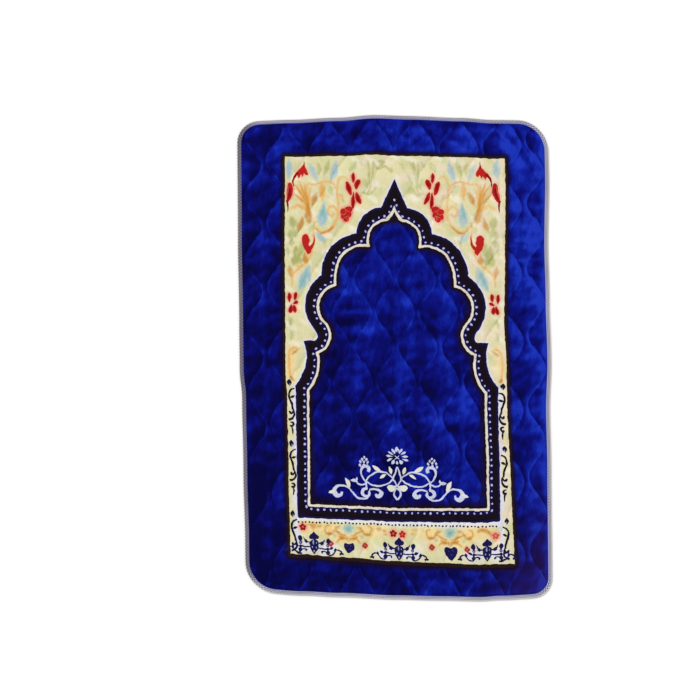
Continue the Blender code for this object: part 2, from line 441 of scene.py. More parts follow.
panel = {
    "axis": 2.3,                    # the print's middle line
    "corners": ((-243, 457), (-245, 200), (-247, -60), (-247, -448), (3, -457), (264, -462), (252, -100),
                (246, 70),
                (253, 270), (251, 454), (2, 451)),
    "frameLine": 5.5,
    "frameDrop": 3.0,               # the frame is this much wider along the bottom
    "frameFade": 10.0,
    # half of each outline of the arch, from its tip down: distance from the axis, y, bulge of the arc
    # that leads there
    "outer": ((0, 400, 0), (30, 334, 0), (85, 278, 0.40), (165, 186, 0.40), (188, 70, 0.44), (178, 54, 0),
              (182, 38, -0.42), (208, 38, 0), (230, -64, -0.29), (231, -362, 0), (227, -366, 0.3), (0, -369,
                                                                                                    0)),
    "inner": ((0, 333, 0), (21, 306, -0.33), (57, 248, 0.48), (124, 222, 0.34), (135, 163, 0.12), (160, 79,
                                                                                                   0.60),
              (178, 10, -0.56), (202, -75, -0.27), (204, -337, 0), (0, -341, 0)),
    "blueBand": 12.5,               # out from the cream line's middle
    "creamLine": 2.7,               # half its width
    "innerBrown": 7.5,
    "fieldFade": 11.0,
    "dotOut": 8.5,
    "dotPitch": 14.3,
    "dotRadius": 2.7,
}

crisp = []      # (outline, dye): dyed through, each over the ones before
soft = []       # (outline, rib, dye, soft edge, strength): brushed on the cream, with a blurred edge


halves = {
    # the right half's flowers are printed this far nearer the middle
    "shiftAt": (-70, 40),
    "shift": (0, 7),
    # x, y, reach across and along, and how far a flower there is moved on top of that
    "rightTulip": ((205, 425, 25, 25), (4.5, -4)),
    "rightPeony": ((100, 325, 30, 28), 4),
    "leftTulip": ((228, 395, 30, 45), 4.2),
    "leftPalmette": ((194, 340, 16, 26), -4),
}


def nearPlace(x, y, centreX, centreY, reachX, reachY):
    return np.exp(-((x - centreX) / reachX) ** 2 - ((y - centreY) / reachY) ** 2)


def drawnIn(points, side):
    # the two halves differ: the right one's flowers are printed nearer the middle
    points = np.array(points, float) * (side, 1)
    x, y = points[:, 0], points[:, 1]
    if side > 0:
        shift = np.interp(y, halves["shiftAt"], halves["shift"])
        flank = 1 + (np.clip((300 - x) / 120, 0, 1) - 1) * np.clip((y - 200) / 30, 0, 1)
        shift = shift * flank * np.clip((x - 20) / 60, 0, 1) * (y > -300)
        (place, (inwards, upwards)), (peony, peonyShift) = halves["rightTulip"], halves["rightPeony"]
        tulip = nearPlace(x, y, *place)
        shift = shift + inwards * tulip + peonyShift * nearPlace(x, y, *peony)
        return np.stack([x - shift, y + upwards * tulip], axis=1)
    x = -x
    (tulip, tulipShift), (palmette, palmetteShift) = halves["leftTulip"], halves["leftPalmette"]
    x = x + tulipShift * nearPlace(x, y, *tulip) + palmetteShift * nearPlace(x, y, *palmette)
    return np.stack([-x, y], axis=1)


def addCrisp(shape, dye, sides=(-1, 1), centre=None):
    ring = shape[0] if isinstance(shape, tuple) else shape
    middleX = panel["axis"] if centre is None else centre
    for side in sides:
        crisp.append((drawnIn(ring, side) + (middleX, 0), dye))


def addSoft(shape, dye, strength=0.85, edge=1.5, sides=(-1, 1), centre=None):
    ring, rib = shape
    middleX = panel["axis"] if centre is None else centre
    for side in sides:
        sideRib = None if rib is None else drawnIn(rib, side) + (middleX, 0)
        fade = 0.8 if side > 0 else 1.0         # and a little paler
        soft.append((drawnIn(ring, side) + (middleX, 0), sideRib, dye, edge, strength * fade))


def archRing(name):
    half = arcPath(panel[name])
    return np.vstack([half, mirrored(half)[1:-1]]) + (panel["axis"], 0)


def turnLeft(ring):
    # anticlockwise, as offsetRing wants it
    x, y = ring[:, 0], ring[:, 1]
    area = np.sum(x * np.roll(y, -1) - y * np.roll(x, -1))
    return ring if area > 0 else ring[::-1]


print("print: panel and arch")
panelRing = turnLeft(closeRing(np.array(panel["corners"], float), 4.0))
outerRing = turnLeft(archRing("outer"))
innerRing = turnLeft(archRing("inner"))
frameRing = offsetRing(panelRing, panel["frameLine"])
frameRing = frameRing - np.outer(frameRing[:, 1] < -440, (0, panel["frameDrop"]))
crisp.append((frameRing, "frameBlack"))
crisp.append((panelRing, "cream"))
crisp.append((outerRing, "band"))
soft.append((offsetRing(outerRing, 2.6), None, "rimLilac", 1.4, 1.0))
crisp.append((offsetRing(innerRing, panel["blueBand"]), "bandBlue"))
crisp.append((offsetRing(innerRing, panel["creamLine"]), "creamLine"))
crisp.append((offsetRing(innerRing, -panel["creamLine"]), "brownBlack"))
fieldRing = offsetRing(innerRing, -panel["innerBrown"])
crisp.append((fieldRing, "fieldBlue"))

draw = np.random.default_rng(7)


def dotsAlong(ring, pitch, radius, dye, uneven, sides=8):
    gaps = np.hypot(*(np.roll(ring, -1, axis=0) - ring).T)
    steps = np.concatenate([[0], np.cumsum(gaps)])
    count = round(steps[-1] / pitch)
    closed = np.vstack([ring, ring[:1]])
    for i in range(count):
        at = (i + 0.5) / count * steps[-1]
        x = np.interp(at, steps, closed[:, 0]) + draw.normal(0, uneven)
        y = np.interp(at, steps, closed[:, 1]) + draw.normal(0, uneven)
        size = radius * draw.uniform(0.78, 1.12)
        dot = disc(x, y, size, sides, draw.uniform(0.8, 1.0), draw.uniform(0, 180))
        crisp.append((dot[0], dye))


dotsAlong(offsetRing(innerRing, panel["dotOut"]), panel["dotPitch"], panel["dotRadius"], "dotWhite", 0.35)
# the cream line comes to a sharp point at the top, with one dot above it
tipX, tipY = panel["axis"], panel["inner"][0][1]
crisp.append((np.array(((0, -1), (-11, -22), (0, -34), (11, -22)), float) + (tipX, tipY), "brownBlack"))
point = np.array(((0, 7), (4.6, -4), (11.5, -14), (17.5, -21), (14, -27), (9, -22), (4, -15), (0, -6.5)),
                 float)
point = np.vstack([point, mirrored(point)[1:-1]])
crisp.append((turnLeft(point + (tipX, tipY)), "creamLine"))
crisp.append((disc(tipX, tipY + 19, panel["dotRadius"], 8)[0], "dotWhite"))


# the row of small dark stitches printed under the arch, on a white strip
def dottedHem():
    strip = ((-229, -358), (-232, -368), (-190, -374), (-120, -376), (0, -379), (120, -380), (190, -378),
             (236, -378), (238, -360), (120, -364), (0, -363), (-120, -362))
    addSoft((np.array(strip, float), None), "white", 0.95, 2.4, (1,))
    for x in np.arange(-229, 229, 8.2):
        dot = disc(x + draw.normal(0, 0.4), -375.6 + draw.normal(0, 0.4), 2.5, 7, 0.92, draw.uniform(0, 60))
        addCrisp(dot, "vineBlack", (1,))


dottedHem()


# flowers and scrolls in the two upper corners: x is the distance from the axis

def redMark(shape):
    addSoft((shape[0], None), "pink", 0.9, 4.5)
    addCrisp(shape, "red")


def redPetal(root, tip, width, bend=0.0, belly=0.55, blunt=0.6):
    # a wide pink halo, the petal and its darker heart
    root, tip = np.array(root, float), np.array(tip, float)
    addSoft(leafBetween(root, tip, width + 6, bend, belly, blunt), "pink", 0.85, 3.2)
    addCrisp(leafBetween(root, tip, width - 0.6, bend, belly, blunt), "red")
    addCrisp(leafBetween(root + (tip - root) * 0.22, tip - (tip - root) * 0.12, width * 0.45, bend, belly,
                         blunt),
             "redDark")


def cornerFlowers():
    # five-petalled flower
    redPetal((92.5, 391), (92.5, 416), 9.0)
    redPetal((98, 364), (108, 396), 12.0, 1.0, 0.55, 0.5)
    redPetal((86, 376), (79.5, 400), 13.5, -1.0, 0.6, 0.5)
    redPetal((86.5, 371.5), (74.5, 343), 11.5, 1.5, 0.55, 0.5)
    redPetal((92, 373), (93, 333), 9.5, 0.5, 0.6)
    # peony below it
    for x, y, radius in ((103, 333, 8.8), (113, 328, 8.4), (113, 317.5, 8.2), (108, 311.5, 7.0), (104, 322,
                                                                                                  8.0)):
        addSoft(disc(x, y, radius + 3.5, 14), "pink", 0.8, 3.2)
        addCrisp(disc(x, y, radius, 14, 0.92, 20), "red")
    for points in (((112, 338), (108, 331), (100, 327)), ((121, 324), (113, 322), (107, 328)),
                   ((117, 312), (109, 317), (101, 318)), ((104, 306), (107, 313), (105, 321))):
        addCrisp(strokeThrough(points, (0.8, 2.0, 0.8)), "redPale")
    # tulip: its cup, jagged below, and its long curved stem
    cup = ((201.5, 438), (196.3, 427), (193.2, 416), (198.2, 414), (201.5, 419), (204.5, 410), (208, 416),
           (211.5, 407.5),
           (215, 414), (218, 420), (212.5, 428), (207, 433.5))
    addSoft((smoothCurve([(x + (x - 206) * 0.12, y + (y - 422) * 0.08) for x, y in cup], 2.0, True), None),
            "pink",
            0.7, 2.0)
    redMark((smoothCurve(cup, 1.6, True), None))
    addCrisp(strokeThrough(((202, 447), (201.8, 441), (202.5, 434)), (1.0, 2.6, 4.0)), "redDark")
    addCrisp(strokeThrough(((214, 421), (220, 413), (223.5, 402), (222, 389)), (6.0, 4.6, 3.8, 1.4)),
             "redDark")
    # hanging petal
    redPetal((230, 399), (240.5, 352), 14.0, -3.5, 0.38, 0.55)
    addCrisp(strokeThrough(((240, 358), (238.7, 345), (239.5, 331)), (5.4, 4.0, 1.4)), "redDark")
    addCrisp(strokeThrough(((233, 391), (236, 377), (238, 366)), (0.8, 2.0, 0.8)), "redPale")
    # comma-shaped bud with its hook
    bean = ((199.5, 280), (205, 277), (208, 268), (207, 257), (202, 246), (194.5, 234), (188, 240), (188,
                                                                                                     248),
            (191.5, 255), (190.5, 262), (191.5, 270), (194.5, 277))
    addSoft((smoothCurve([(x + (x - 198) * 0.14, y + (y - 257) * 0.06) for x, y in bean], 2.0, True), None),
            "pink",
            0.6, 2.0)
    redMark((smoothCurve(bean, 1.8, True), None))
    addCrisp(strokeThrough(((192, 246), (186, 251), (181.5, 259), (180, 268), (180.5, 278)), (8.0, 6.6, 4.6,
                                                                                              3.0, 1.0)),
             "red")
    # small dark flower low at the side
    for tip, root, width in (((223, 149), (227, 129), 9.0), ((239, 148), (238, 124), 9.5), ((218, 127),
                                                                                            (231, 123), 9.0),
                             ((226, 101), (229, 121), 10.0), ((237, 100), (234, 121), 11.0)):
        redPetal(root, tip, width, 0.0, 0.6)


def cornerScrolls():
    # palmette, with darker ribs
    for tip, width, bend in (((220, 396), 8.0, 4), ((213, 402), 8.0, 3), ((200, 396), 8.5, 0), ((224, 376),
                                                                                                8.0, 5),
                             ((206, 382), 7.0, 2), ((189, 384), 8.0, -3), ((221, 349), 9.0, 5)):
        addSoft(leafBetween((194, 322), tip, width, bend, 0.6), "gold", 0.9)
    for tip, bend in (((219, 392), 4), ((200, 392), 0), ((222, 372), 5), ((210, 398), 3)):
        root = (195, 330)
        addSoft(leafBetween(root, tip, 2.6, bend, 0.6), "goldDark", 0.8, 1.2)
    addSoft(dropBetween((200, 352), (192, 304), 16.0), "goldDark", 0.85)
    addSoft(leafBetween((189, 344), (175, 374), 13.0, 1.0), "goldDark", 0.95)
    addSoft(leafBetween((163, 354), (163, 399), 13.0, 1.0), "gold", 1.0)
    addSoft(leafBetween((207, 320), (218, 285), 13.0, -2.0), "goldDark", 0.9)
    addSoft(leafBetween((216, 346), (234, 338), 8.0), "gold", 0.8)
    addSoft(strokeThrough(((195.6, 378), (193.3, 393), (178, 392), (157, 397.5), (139, 392), (129.5, 376)),
                          (2.4, 4.4, 3.4, 4.8, 4.0, 2.0)), "gold", 0.95)
    # the long C scroll, its spiral and its side branch
    addSoft(strokeThrough(((103, 398), (109, 405), (117, 408), (126, 396), (128.5, 366), (126.6, 349), (128,
                                                                                                        320),
                           (136, 298), (149, 285), (165, 282.5), (177, 294)),
                          (2.0, 3.0, 3.4, 3.8, 4.2, 4.4, 5.4, 7.4, 7.4, 4.4)), "gold", 1.0)
    addSoft(strokeThrough(((137, 297), (150, 284.5), (165, 282)), (1.4, 6.6, 1.4)), "goldDark", 1.0)
    addSoft(strokeThrough(((128.5, 331), (134, 339), (140, 341), (148, 335), (149.5, 326), (142, 319), (135,
                                                                                                        325)),
                          (3.0, 4.0, 5.0, 5.6, 5.6, 5.6, 5.0)), "gold", 1.0)
    addSoft(strokeThrough(((125, 368), (118.5, 364.5), (114, 352)), (2.0, 5.0, 2.0)), "gold", 0.95)
    # stem down the side, round the bud
    addSoft(strokeThrough(((180, 308), (182, 286), (181.5, 262), (187, 238), (194, 222), (206, 209), (216,
                                                                                                      207),
                           (222, 213)), (2.4, 3.4, 4.2, 4.8, 4.6, 3.6, 3.0, 1.6)), "gold", 1.0)
    addSoft(strokeThrough(((206, 209), (219, 199), (230, 187), (233, 162)), (3.4, 3.8, 4.2, 1.8)), "gold",
            0.95)
    addSoft(dropBetween((201, 240), (200, 213), 13.0), "goldDark", 1.0)
    addSoft(leafBetween((234, 182), (237, 210), 11.0), "goldDark", 0.9)
    # shoulder pockets
    addSoft(leafBetween((236, 32), (236, -58), 24.0), "goldPale", 0.55, 8.0)
    addSoft(strokeThrough(((218, 19), (229, 22), (238, 17), (241, 6), (241, -14), (239.5, -34), (237, -52)),
                          (3.4, 5.6, 5.6, 5.4, 4.4, 5.0, 3.6)), "gold", 1.0)
    addSoft(leafBetween((236, 7), (221, 19), 7.0, 1.0), "goldDark", 0.95)
    addSoft(leafBetween((240, -43), (231, -53), 8.0, 1.0), "goldDark", 0.85)


def cornerLeaves():
    for root, tip, width, dye, strength in (
            ((236, 408), (236, 452), 16.0, "lightBlue", 0.95), ((173, 398), (193, 442), 14.0, "lightBlue",
                                                                0.75),
            ((143, 396), (130, 444), 16.0, "lightBlue", 0.95), ((156, 257), (178, 284), 13.0, "lightBlue",
                                                                0.95),
            ((218, 152), (193, 208), 25.0, "lightBlue", 0.95), ((215, 158), (198, 200), 12.0, "teal", 0.7),
            ((169, 412), (171, 441), 10.0, "olive", 0.65), ((158, 412), (147, 446), 12.0, "olive", 0.75),
            ((229, 292), (231, 322), 17.0, "olive", 0.75), ((235, 270), (234, 291), 12.0, "olive", 0.7),
            ((232, 252), (232, 272), 12.0, "olive", 0.7), ((207, 232), (213, 262), 14.0, "olive", 0.7),
            ((219, 216), (222, 256), 19.0, "olive", 0.85), ((229, 209), (224, 236), 15.0, "olive", 0.85),
            ((206, 224), (223, 213), 13.0, "olive", 0.8), ((238, 70), (236, 92), 8.0, "olive", 0.65),
            ((236, 38), (235, 60), 9.0, "olive", 0.65), ((221, 270), (228, 293), 12.0, "paleGreen", 0.9),
            ((102, 416), (86, 441), 13.0, "paleGreen", 0.95), ((139, 364), (151, 392), 13.0, "paleGreen",
                                                               0.8),
            ((59, 376), (71, 401), 11.0, "paleGreen", 0.8), ((181, 302), (191, 281), 11.0, "paleGreen", 0.85),
            ((240, 232), (238, 250), 8.0, "paleGreen", 0.8), ((150, 268), (160, 252), 9.0, "paleGreen", 0.7)):
        addSoft(leafBetween(root, tip, width, width * 0.12), dye, strength, 2.0)
    addSoft(dropBetween((158, 354), (163, 296), 24.0), "lightBlue", 0.95, 2.6)
    addSoft(leafBetween((160, 346), (168, 312), 9.0, -2.0), "teal", 0.85, 2.2)
    addSoft(leafBetween((156, 330), (157, 306), 6.0), "teal", 0.5, 2.2)
    # pale green twigs along the top, curled at the left and leafy at the right
    for points in (((58.5, 438), (57, 410), (55, 378), (61, 366)), ((46, 437), (49, 410), (53, 387)),
                   ((72, 369), (55.6, 364), (42, 378))):
        addSoft(strokeThrough(points, (2.4, 4.6, 4.0, 2.0)), "olive", 0.7, 1.8)
    for points in (((46, 433), (36, 422), (20, 426), (7, 416), (6, 424)), ((36, 438), (22, 436), (29, 428))):
        addSoft(strokeThrough(points, (2.4, 4.8, 4.0, 2.0)), "olive", 0.8, 1.8, (-1,))
    for root, tip, width in (((33, 440), (53, 416), 13.0), ((28, 362), (47, 382), 13.0), ((12, 436),
                                                                                          (22, 420), 8.0),
                             ((64, 440), (74, 424), 9.0), ((30, 408), (38, 396), 7.0)):
        addSoft(leafBetween(root, tip, width, 2.0), "olive", 0.6, 2.4, (1,))


print("print: corners")
cornerFlowers()
cornerScrolls()
cornerLeaves()


# vines down the two side strips
def sideVine():
    # distance from the axis, y; the right one hangs a little lower
    def add(shape, dye="vineBlack"):
        ring = shape[0]
        drop = np.clip((-60 - ring[:, 1]) / 330, 0, 1)
        crisp.append((ring * (-1, 1) + (panel["axis"], 0), dye))
        crisp.append((ring + np.stack([6 * drop - 2 + panel["axis"], -3.5 - 5.5 * drop], axis=1), dye))

    for top, foot, inner in ((-62, -170, 229.5), (-186, -222, 231.5), (-300, -345, 232), (-345, -440, 231)):
        addSoft(leafBetween((inner + 3, top), (inner + 3, foot), 12.0, 0.0, 0.5, 0.5), "rimLilac", 0.85, 3.5)
    # one spray, hung three times; y from the tip of its bud
    for top, whole in ((-51, True), (-190, True), (-350, False)):
        def down(points):
            return np.array(points, float) + (0, top)

        add(leafBetween(*down(((242.5, -15), (242, 1))), 11.0))
        add(leafBetween(*down(((241, -14), (241, -8))), 2.8), "navyPale")
        add(strokeThrough(down(((232.5, -20), (240, -23), (244, -28), (245.5, -37), (243.5, -45), (239, -56),
                                (237, -69))), (3.4, 4.4, 5.2, 5.4, 4.4)))
        add(leafBetween(*down(((244, -41), (231, -36))), 6.0))
        add(curl(241, top - 73.5, 4.8, 150, 250, 4.8))
        add(strokeThrough(down(((236, -68), (233.5, -76), (234.5, -83), (239, -88.5), (247, -91))),
                          (3.4, 4.6, 5.4, 5.8)))
        if whole:
            add(curl(240.5, top - 102.5, 6.0, 60, 280, 4.8))
            add(strokeThrough(down(((240, -107), (238, -114), (239, -124))), (4.0, 4.4, 2.4)))
    add(strokeThrough(((236, -442), (230, -445.5), (222, -447)), (4.4, 5.0, 3.4)))


sideVine()


# lower border

border = {
    # x of each cluster from the axis, y, how far its left and its right arm are lifted
    "clusters": ((-194.8, -429.0, 2.7, -2.6), (-1.0, -437.0, 1.9, -0.6), (200.0, -436.0, 0.7, 0.5)),
    "hearts": ((-115.0, -431.5, 25.0, 1.0), (117.2, -437.4, 29.5, 1.1)),       # x, y, width, height's share
    "stars": ((-116.5, -388.0), (115.0, -391.5)),
}


def navyCluster(x, y, liftLeft, liftRight):
    # a spade over a vase, with buds, curls and a trailing leaf at each side
    def add(shape, sides=(-1, 1), dye="navy"):
        for side in sides:
            ring = shape[0] * (side, 1)
            lift = (liftLeft if side < 0 else liftRight) * np.clip(abs(ring[:, 0]) / 25, 0, 1)
            crisp.append((ring + np.stack([x + panel["axis"] + 0 * lift, y + lift], axis=1), dye))

    spade = ((0, 33), (4.5, 28.5), (9, 25), (11.3, 21.5), (9.5, 17), (5, 15.6), (0, 15.2))
    spade = np.array(spade + tuple((-a, b) for a, b in spade[-2:0:-1]))
    add((smoothCurve(spade, 1.8, True)[::-1], None), (1,))
    vase = ((0, 15.5), (5, 14), (9.4, 11), (10.6, 6), (9.8, 0), (9.4, -4), (7.4, -9), (4, -14), (0, -19))
    vase = np.array(vase + tuple((-a, b) for a, b in vase[-2:0:-1]))
    add((smoothCurve(vase, 1.8, True)[::-1], None), (1,))
    for foot, top, width in (((-1.5, 3), (-1.5, 14), 3.4), ((4.6, -6), (4.4, -1), 3.0), ((-4.6, -5),
                                                                                         (-4.4, 0), 3.0),
                             ((-0.5, -15), (0, -9), 2.8), ((4.8, 5), (5.4, 9), 2.4)):
        add(leafBetween(foot, top, width), (1,), "navyPale")
    add(leafBetween((31.5, 6.5), (32.5, 21), 10.4, 0, 0.55, 0.6))
    add(disc(30.6, 4.4, 3.8, 9))
    add(disc(30.6, 4.4, 1.7, 7), (-1, 1), "navyPale")
    add(disc(31, -3.7, 3.7, 9))
    add(disc(31.4, -11.7, 5.0, 10))
    add(leafBetween((16, 3.5), (21, 13), 9.0))
    add(strokeThrough(((10, 7.5), (17, 8), (22, 12), (24.6, 17.5)), (2.6, 4.6, 3.6, 1.4)))
    add(leafBetween((34, -5), (45, 0.5), 6.0, 1.0))
    add(strokeThrough(((9, -3.7), (20, -4.2), (30, -3.4)), (3.0, 3.2, 3.6)))
    add(strokeThrough(((29, -10.7), (22, -9.4), (17, -11), (19, -14.4)), (2.6, 3.0, 3.6, 5.0)))
    add(strokeThrough(((30, -15.5), (35, -17.7), (42, -15.7), (47, -9.7)), (3.0, 3.4, 3.4, 3.0)))
    add(leafBetween((49.6, -0.6), (47.4, -11.4), 6.6))
    add(strokeThrough(((49.5, -5), (56, -5.6), (61.5, -9), (61.4, -14), (57.4, -15.4)), (2.6, 3.2, 3.8, 4.6,
                                                                                         5.6)))
    add(leafBetween((60, -12.6), (69, -14.8), 5.4))
    # the pale blue tint between them
    for side in (-1, 1):
        glow = disc(side * 26, -4, 27, 16, 0.55)[0] + (x + panel["axis"], y)
        soft.append((glow, None, "rimLilac", 8.0, 0.7))


def goldScrolls(x, starY):
    def add(shape, dye="goldDark", strength=1.0, edge=1.1):
        for side in (-1, 1):
            rib = None if shape[1] is None else shape[1] * (side, 1) + (x + panel["axis"], starY)
            soft.append((shape[0] * (side, 1) + (x + panel["axis"], starY), rib, dye, edge, strength))

    # a warm glow, then the ring scrolls beside the star, and what trails from them over the heart
    add(disc(42, -4, 21, 14, 0.8), "goldPale", 0.75, 9.0)
    add(disc(16, -20, 19, 14, 0.6), "goldPale", 0.75, 8.0)
    add(strokeThrough(((43.5, 8), (50.5, 5), (53, -2), (50, -9), (44, -13), (36, -12)),
                      (1.6, 2.6, 2.6, 2.8, 3.6, 3.0)), "goldDark", 0.9)
    add(leafBetween((51, -12.5), (37, -11.5), 6.4))
    add(strokeThrough(((34, -4), (27, 2), (19, 4)), (2.0, 5.0, 2.0)), "goldDark", 0.9)
    add(strokeThrough(((36, -12), (34, -6), (29, -5), (22, -9), (14, -14), (6, -16)),
                      (2.0, 3.6, 4.0, 4.0, 3.4, 2.2)), "goldDark", 0.95)
    add(dropBetween((35, -11), (29, -21), 8.6), "teal", 0.6, 2.2)
    add(leafBetween((21, -17), (5, -23), 8.6, 1.0))
    add(strokeThrough(((27, -30), (18, -23), (8, -21)), (1.6, 4.0, 2.6)), "goldDark", 0.9)
    add(leafBetween((5, -19), (2, -28), 5.4), "goldDark", 0.9)


def lowerBorder():
    # gold at the ends and in the middle
    for x, y, radius in ((-196, -387, 25), (-44, -391, 21), (34, -391, 17), (190, -389, 27)):
        addSoft(disc(x, y, radius, 16, 0.62), "goldPale", 0.75, 9.0, (1,))
    addSoft(heart(-196, -384, 15), "goldDark", 1.0, 1.2, (1,))
    addSoft(strokeThrough(((-214, -381), (-206, -380.5), (-199, -383)), (1.4, 3.0, 2.2)), "goldDark", 0.9,
            1.1, (1,))
    addSoft(strokeThrough(((178, -389), (186, -383), (196, -384.5), (206, -391.5), (209.5, -398)),
                          (4.0, 8.4, 8.6, 7.0, 3.0)), "goldDark", 1.2, 1.5, (1,))
    for root, tip, width, strength in (((-189, -386), (-175, -381), 7.6, 0.95), ((-54, -386), (-40, -386),
                                                                                 7.6, 0.95),
                                       ((-39, -388), (-29, -391), 7.0, 0.9), ((-37, -398), (-27, -398), 5.6,
                                                                              0.9),
                                       ((29, -386), (42, -386), 7.0, 0.6), ((26, -396), (36, -396), 6.0,
                                                                            0.6)):
        addSoft(leafBetween(root, tip, width), "goldDark", strength, 1.4, (1,))
    for (x, y), (heartX, heartY, size, tall) in zip(border["stars"], border["hearts"]):
        goldScrolls(x, y)
        addSoft(disc(x, y, 12.5, 12), "lightBlue", 0.65, 5.0, (1,))
        for angle in range(0, 180, 45):
            tips = placed(((0, -10.5), (0, 10.5)), x, y, angle + 10)
            addSoft(leafBetween(tips[0], tips[1], 4.6), "teal", 1.1, 1.2, (1,))
        addCrisp(heart(heartX, heartY, size, tall), "navy", (1,))
        for dx, dy in ((-5, 5), (4, 6), (1, -3)):
            addCrisp(leafBetween((heartX + dx, heartY + dy - 2.4), (heartX + dx, heartY + dy + 2.4), 2.8),
                     "heartFleck",
                     (1,))
    for x, y, petal, centre in ((-220, -387, "redDark", "redPale"), (-14, -395, "redDark", "redPale"),
                                (6.5, -397, "red", "redPale"), (219.5, -398, "redPale", "pink")):
        addSoft(disc(x, y, 11.5, 14), "pink", 0.85, 4.0, (1,))
        for angle in range(0, 360, 72):
            tip = placed(((0, 8.6),), x, y, angle)[0]
            addCrisp(leafBetween((x, y), tip, 6.4, 0, 0.6, 0.7), petal, (1,))
        addCrisp(disc(x, y, 2.4, 8), centre, (1,))
    for x, y in ((-157, -422.6), (-79, -425.3), (74, -425), (154.5, -428)):
        addSoft(disc(x, y, 8.6, 12), "pink", 0.75, 3.4, (1,))
        for turn in (0, 90, 180, 270):
            tip = placed(((0, 7.6),), x, y, turn + 5)[0]
            addCrisp(leafBetween((x, y), tip, 7.6, 0, 0.55, 0.7), "brick", (1,))
        addCrisp(disc(x, y, 1.4, 6), "pink", (1,))
    for cluster in border["clusters"]:
        navyCluster(*cluster)


lowerBorder()


# white ornament at the foot of the field

def footOrnament():
    centre = -2.9           # a little left of the print's middle line

    def add(shape, sides=(-1, 1), dye="ornament"):
        ring = np.array(shape[0])
        for side in sides:
            turned = ring * (side, 1)
            # the right half is the wider one, and hangs lower at its end
            if side > 0 and len(sides) > 1:
                past = np.maximum(ring[:, 0] - 80, 0)
                turned = np.stack([ring[:, 0] * 1.07 - past * 0.07, ring[:, 1] - np.minimum(past / 8, 3.2)],
                                  axis=1)
            crisp.append((turned + (panel["axis"] + centre, 0), dye))

    def line(points, widths=(2.6, 3.6, 3.6, 2.6)):
        add(strokeThrough(points, widths))

    # palmette
    fan = (0, -224.5)
    for turn, near, far, width in ((0, 11.5, 24, 7.0), (-32, 10, 22.5, 4.6), (-57, 9.5, 24, 4.6), (-82, 9.5,
                                                                                                   24.5, 4.6),
                                   (-107, 10, 24.5, 5.0), (-141, 7, 19, 7.6), (180, 8, 16, 5.8)):
        ends = placed(((0, near), (0, far)), *fan, turn)
        add(leafBetween(ends[0], ends[1], width, 0, 0.62, 0.7), (-1, 1) if turn % 180 else (1,))
    line(((1.5, -205), (4.6, -210), (5.6, -216)), (2.6, 3.0, 1.4))
    line(((-4.5, -229), (0, -224.5), (4.5, -220)), (1.6, 2.2, 1.6))
    # lily of drops over the curl
    for x, y in ((74.4, -226), (79.5, -230.5), (69.5, -231), (83.5, -236.5), (75, -236), (66, -238), (84.5,
                                                                                                      -244),
                 (67, -245.5), (75, -243)):
        add(leafBetween((75 + (x - 75) * 0.8, y - 4), (75 + (x - 75) * 1.08, y + 3.6), 5.0, 0, 0.6, 0.7))
    line(((70.5, -282), (79.5, -269), (82.5, -257), (78, -248), (69.5, -246.5), (64, -251.5), (66.5, -258)),
         (2.8, 3.6, 3.8, 4.6, 6.5, 8.0, 6.5))
    # almond loop and its leaves
    line(((70, -279), (61, -266.5), (47.5, -259.5), (33.5, -257.5), (20, -262.5), (8.6, -272)), (3, 3.8,
                                                                                                 3.8, 3))
    line(((8.6, -272), (15.5, -280), (27, -286), (41, -289.5), (57, -287.5), (70, -280)), (3, 3.6, 3.6, 3))
    add(leafBetween((36, -256), (56, -243.5), 8.6, -1.5), dye="ornamentCream")
    add(leafBetween((25, -263.5), (40, -272.5), 7.0, 1.0), dye="ornamentCream")
    add(leafBetween((12.6, -263), (18.6, -245.5), 8.0, 1.0), dye="ornamentCream")
    # spear, wings and drop in the middle
    line(((0.4, -245), (4.6, -260), (9, -272.5), (4.5, -281), (0.2, -290)), (2.6, 3.2, 3.6, 3.4, 3.4))
    add(leafBetween((1, -289.5), (22.5, -292.5), 15.0, -3.0, 0.62, 0.6), dye="ornamentCream")
    line(((0, -293), (6.6, -301), (7, -310), (0.2, -320)), (3.4, 3.8, 4.0, 3.6))
    # lower scrolls
    line(((70, -280), (70.4, -289), (69.4, -297)), (3.0, 3.6, 4.2))
    line(((64, -301), (62.5, -308), (67.5, -313), (76, -312), (79, -304.5), (75, -298), (68, -297)),
         (3.6, 4.0, 5.5, 7.5, 7.5, 7.0, 5.0))
    line(((64, -299), (52, -296.5), (41, -299), (36.6, -305.5), (40, -312), (46, -312.4), (48.5, -307)),
         (3.2, 4.0, 4.6, 6.4, 9.6, 9.0, 4.4))
    line(((64, -305), (68, -316), (79, -320), (91.5, -316), (102, -305.5), (110, -295.5), (121, -290.6),
          (133, -290.6), (141.5, -297), (142, -307), (135.5, -313.4), (127.6, -310), (126.6, -304)),
         (3.0, 3.6, 4.0, 4.0, 3.8, 3.6, 3.8, 4.4, 7.4, 11.0, 9.0, 4.4))
    add(leafBetween((140.5, -300), (157, -307), 7.6, -1.0, 0.5), dye="ornamentCream")
    add(leafBetween((107, -298), (118.5, -272), 10.0, 1.5), dye="ornamentCream")
    line(((71, -284), (80, -288), (89, -286), (94, -279)), (2.8, 3.6, 3.4, 2.6))
    add(leafBetween((90, -281.5), (107, -277.5), 7.0, 1.0))
    add(leafBetween((93, -281), (91, -271), 4.6))


print("print: foot ornament")
footOrnament()


# the face

face = {
    "fieldSpacing": 5.2,            # of the points in the plain blue
    "panelSpacing": 3.4,            # and in the cream panel
    "clearance": 1.5,               # no loose point is nearer than this to a drawn line
    "wobble": 0.55,                 # the pile's wandering edge between two colours
    "underside": 0.0,
}


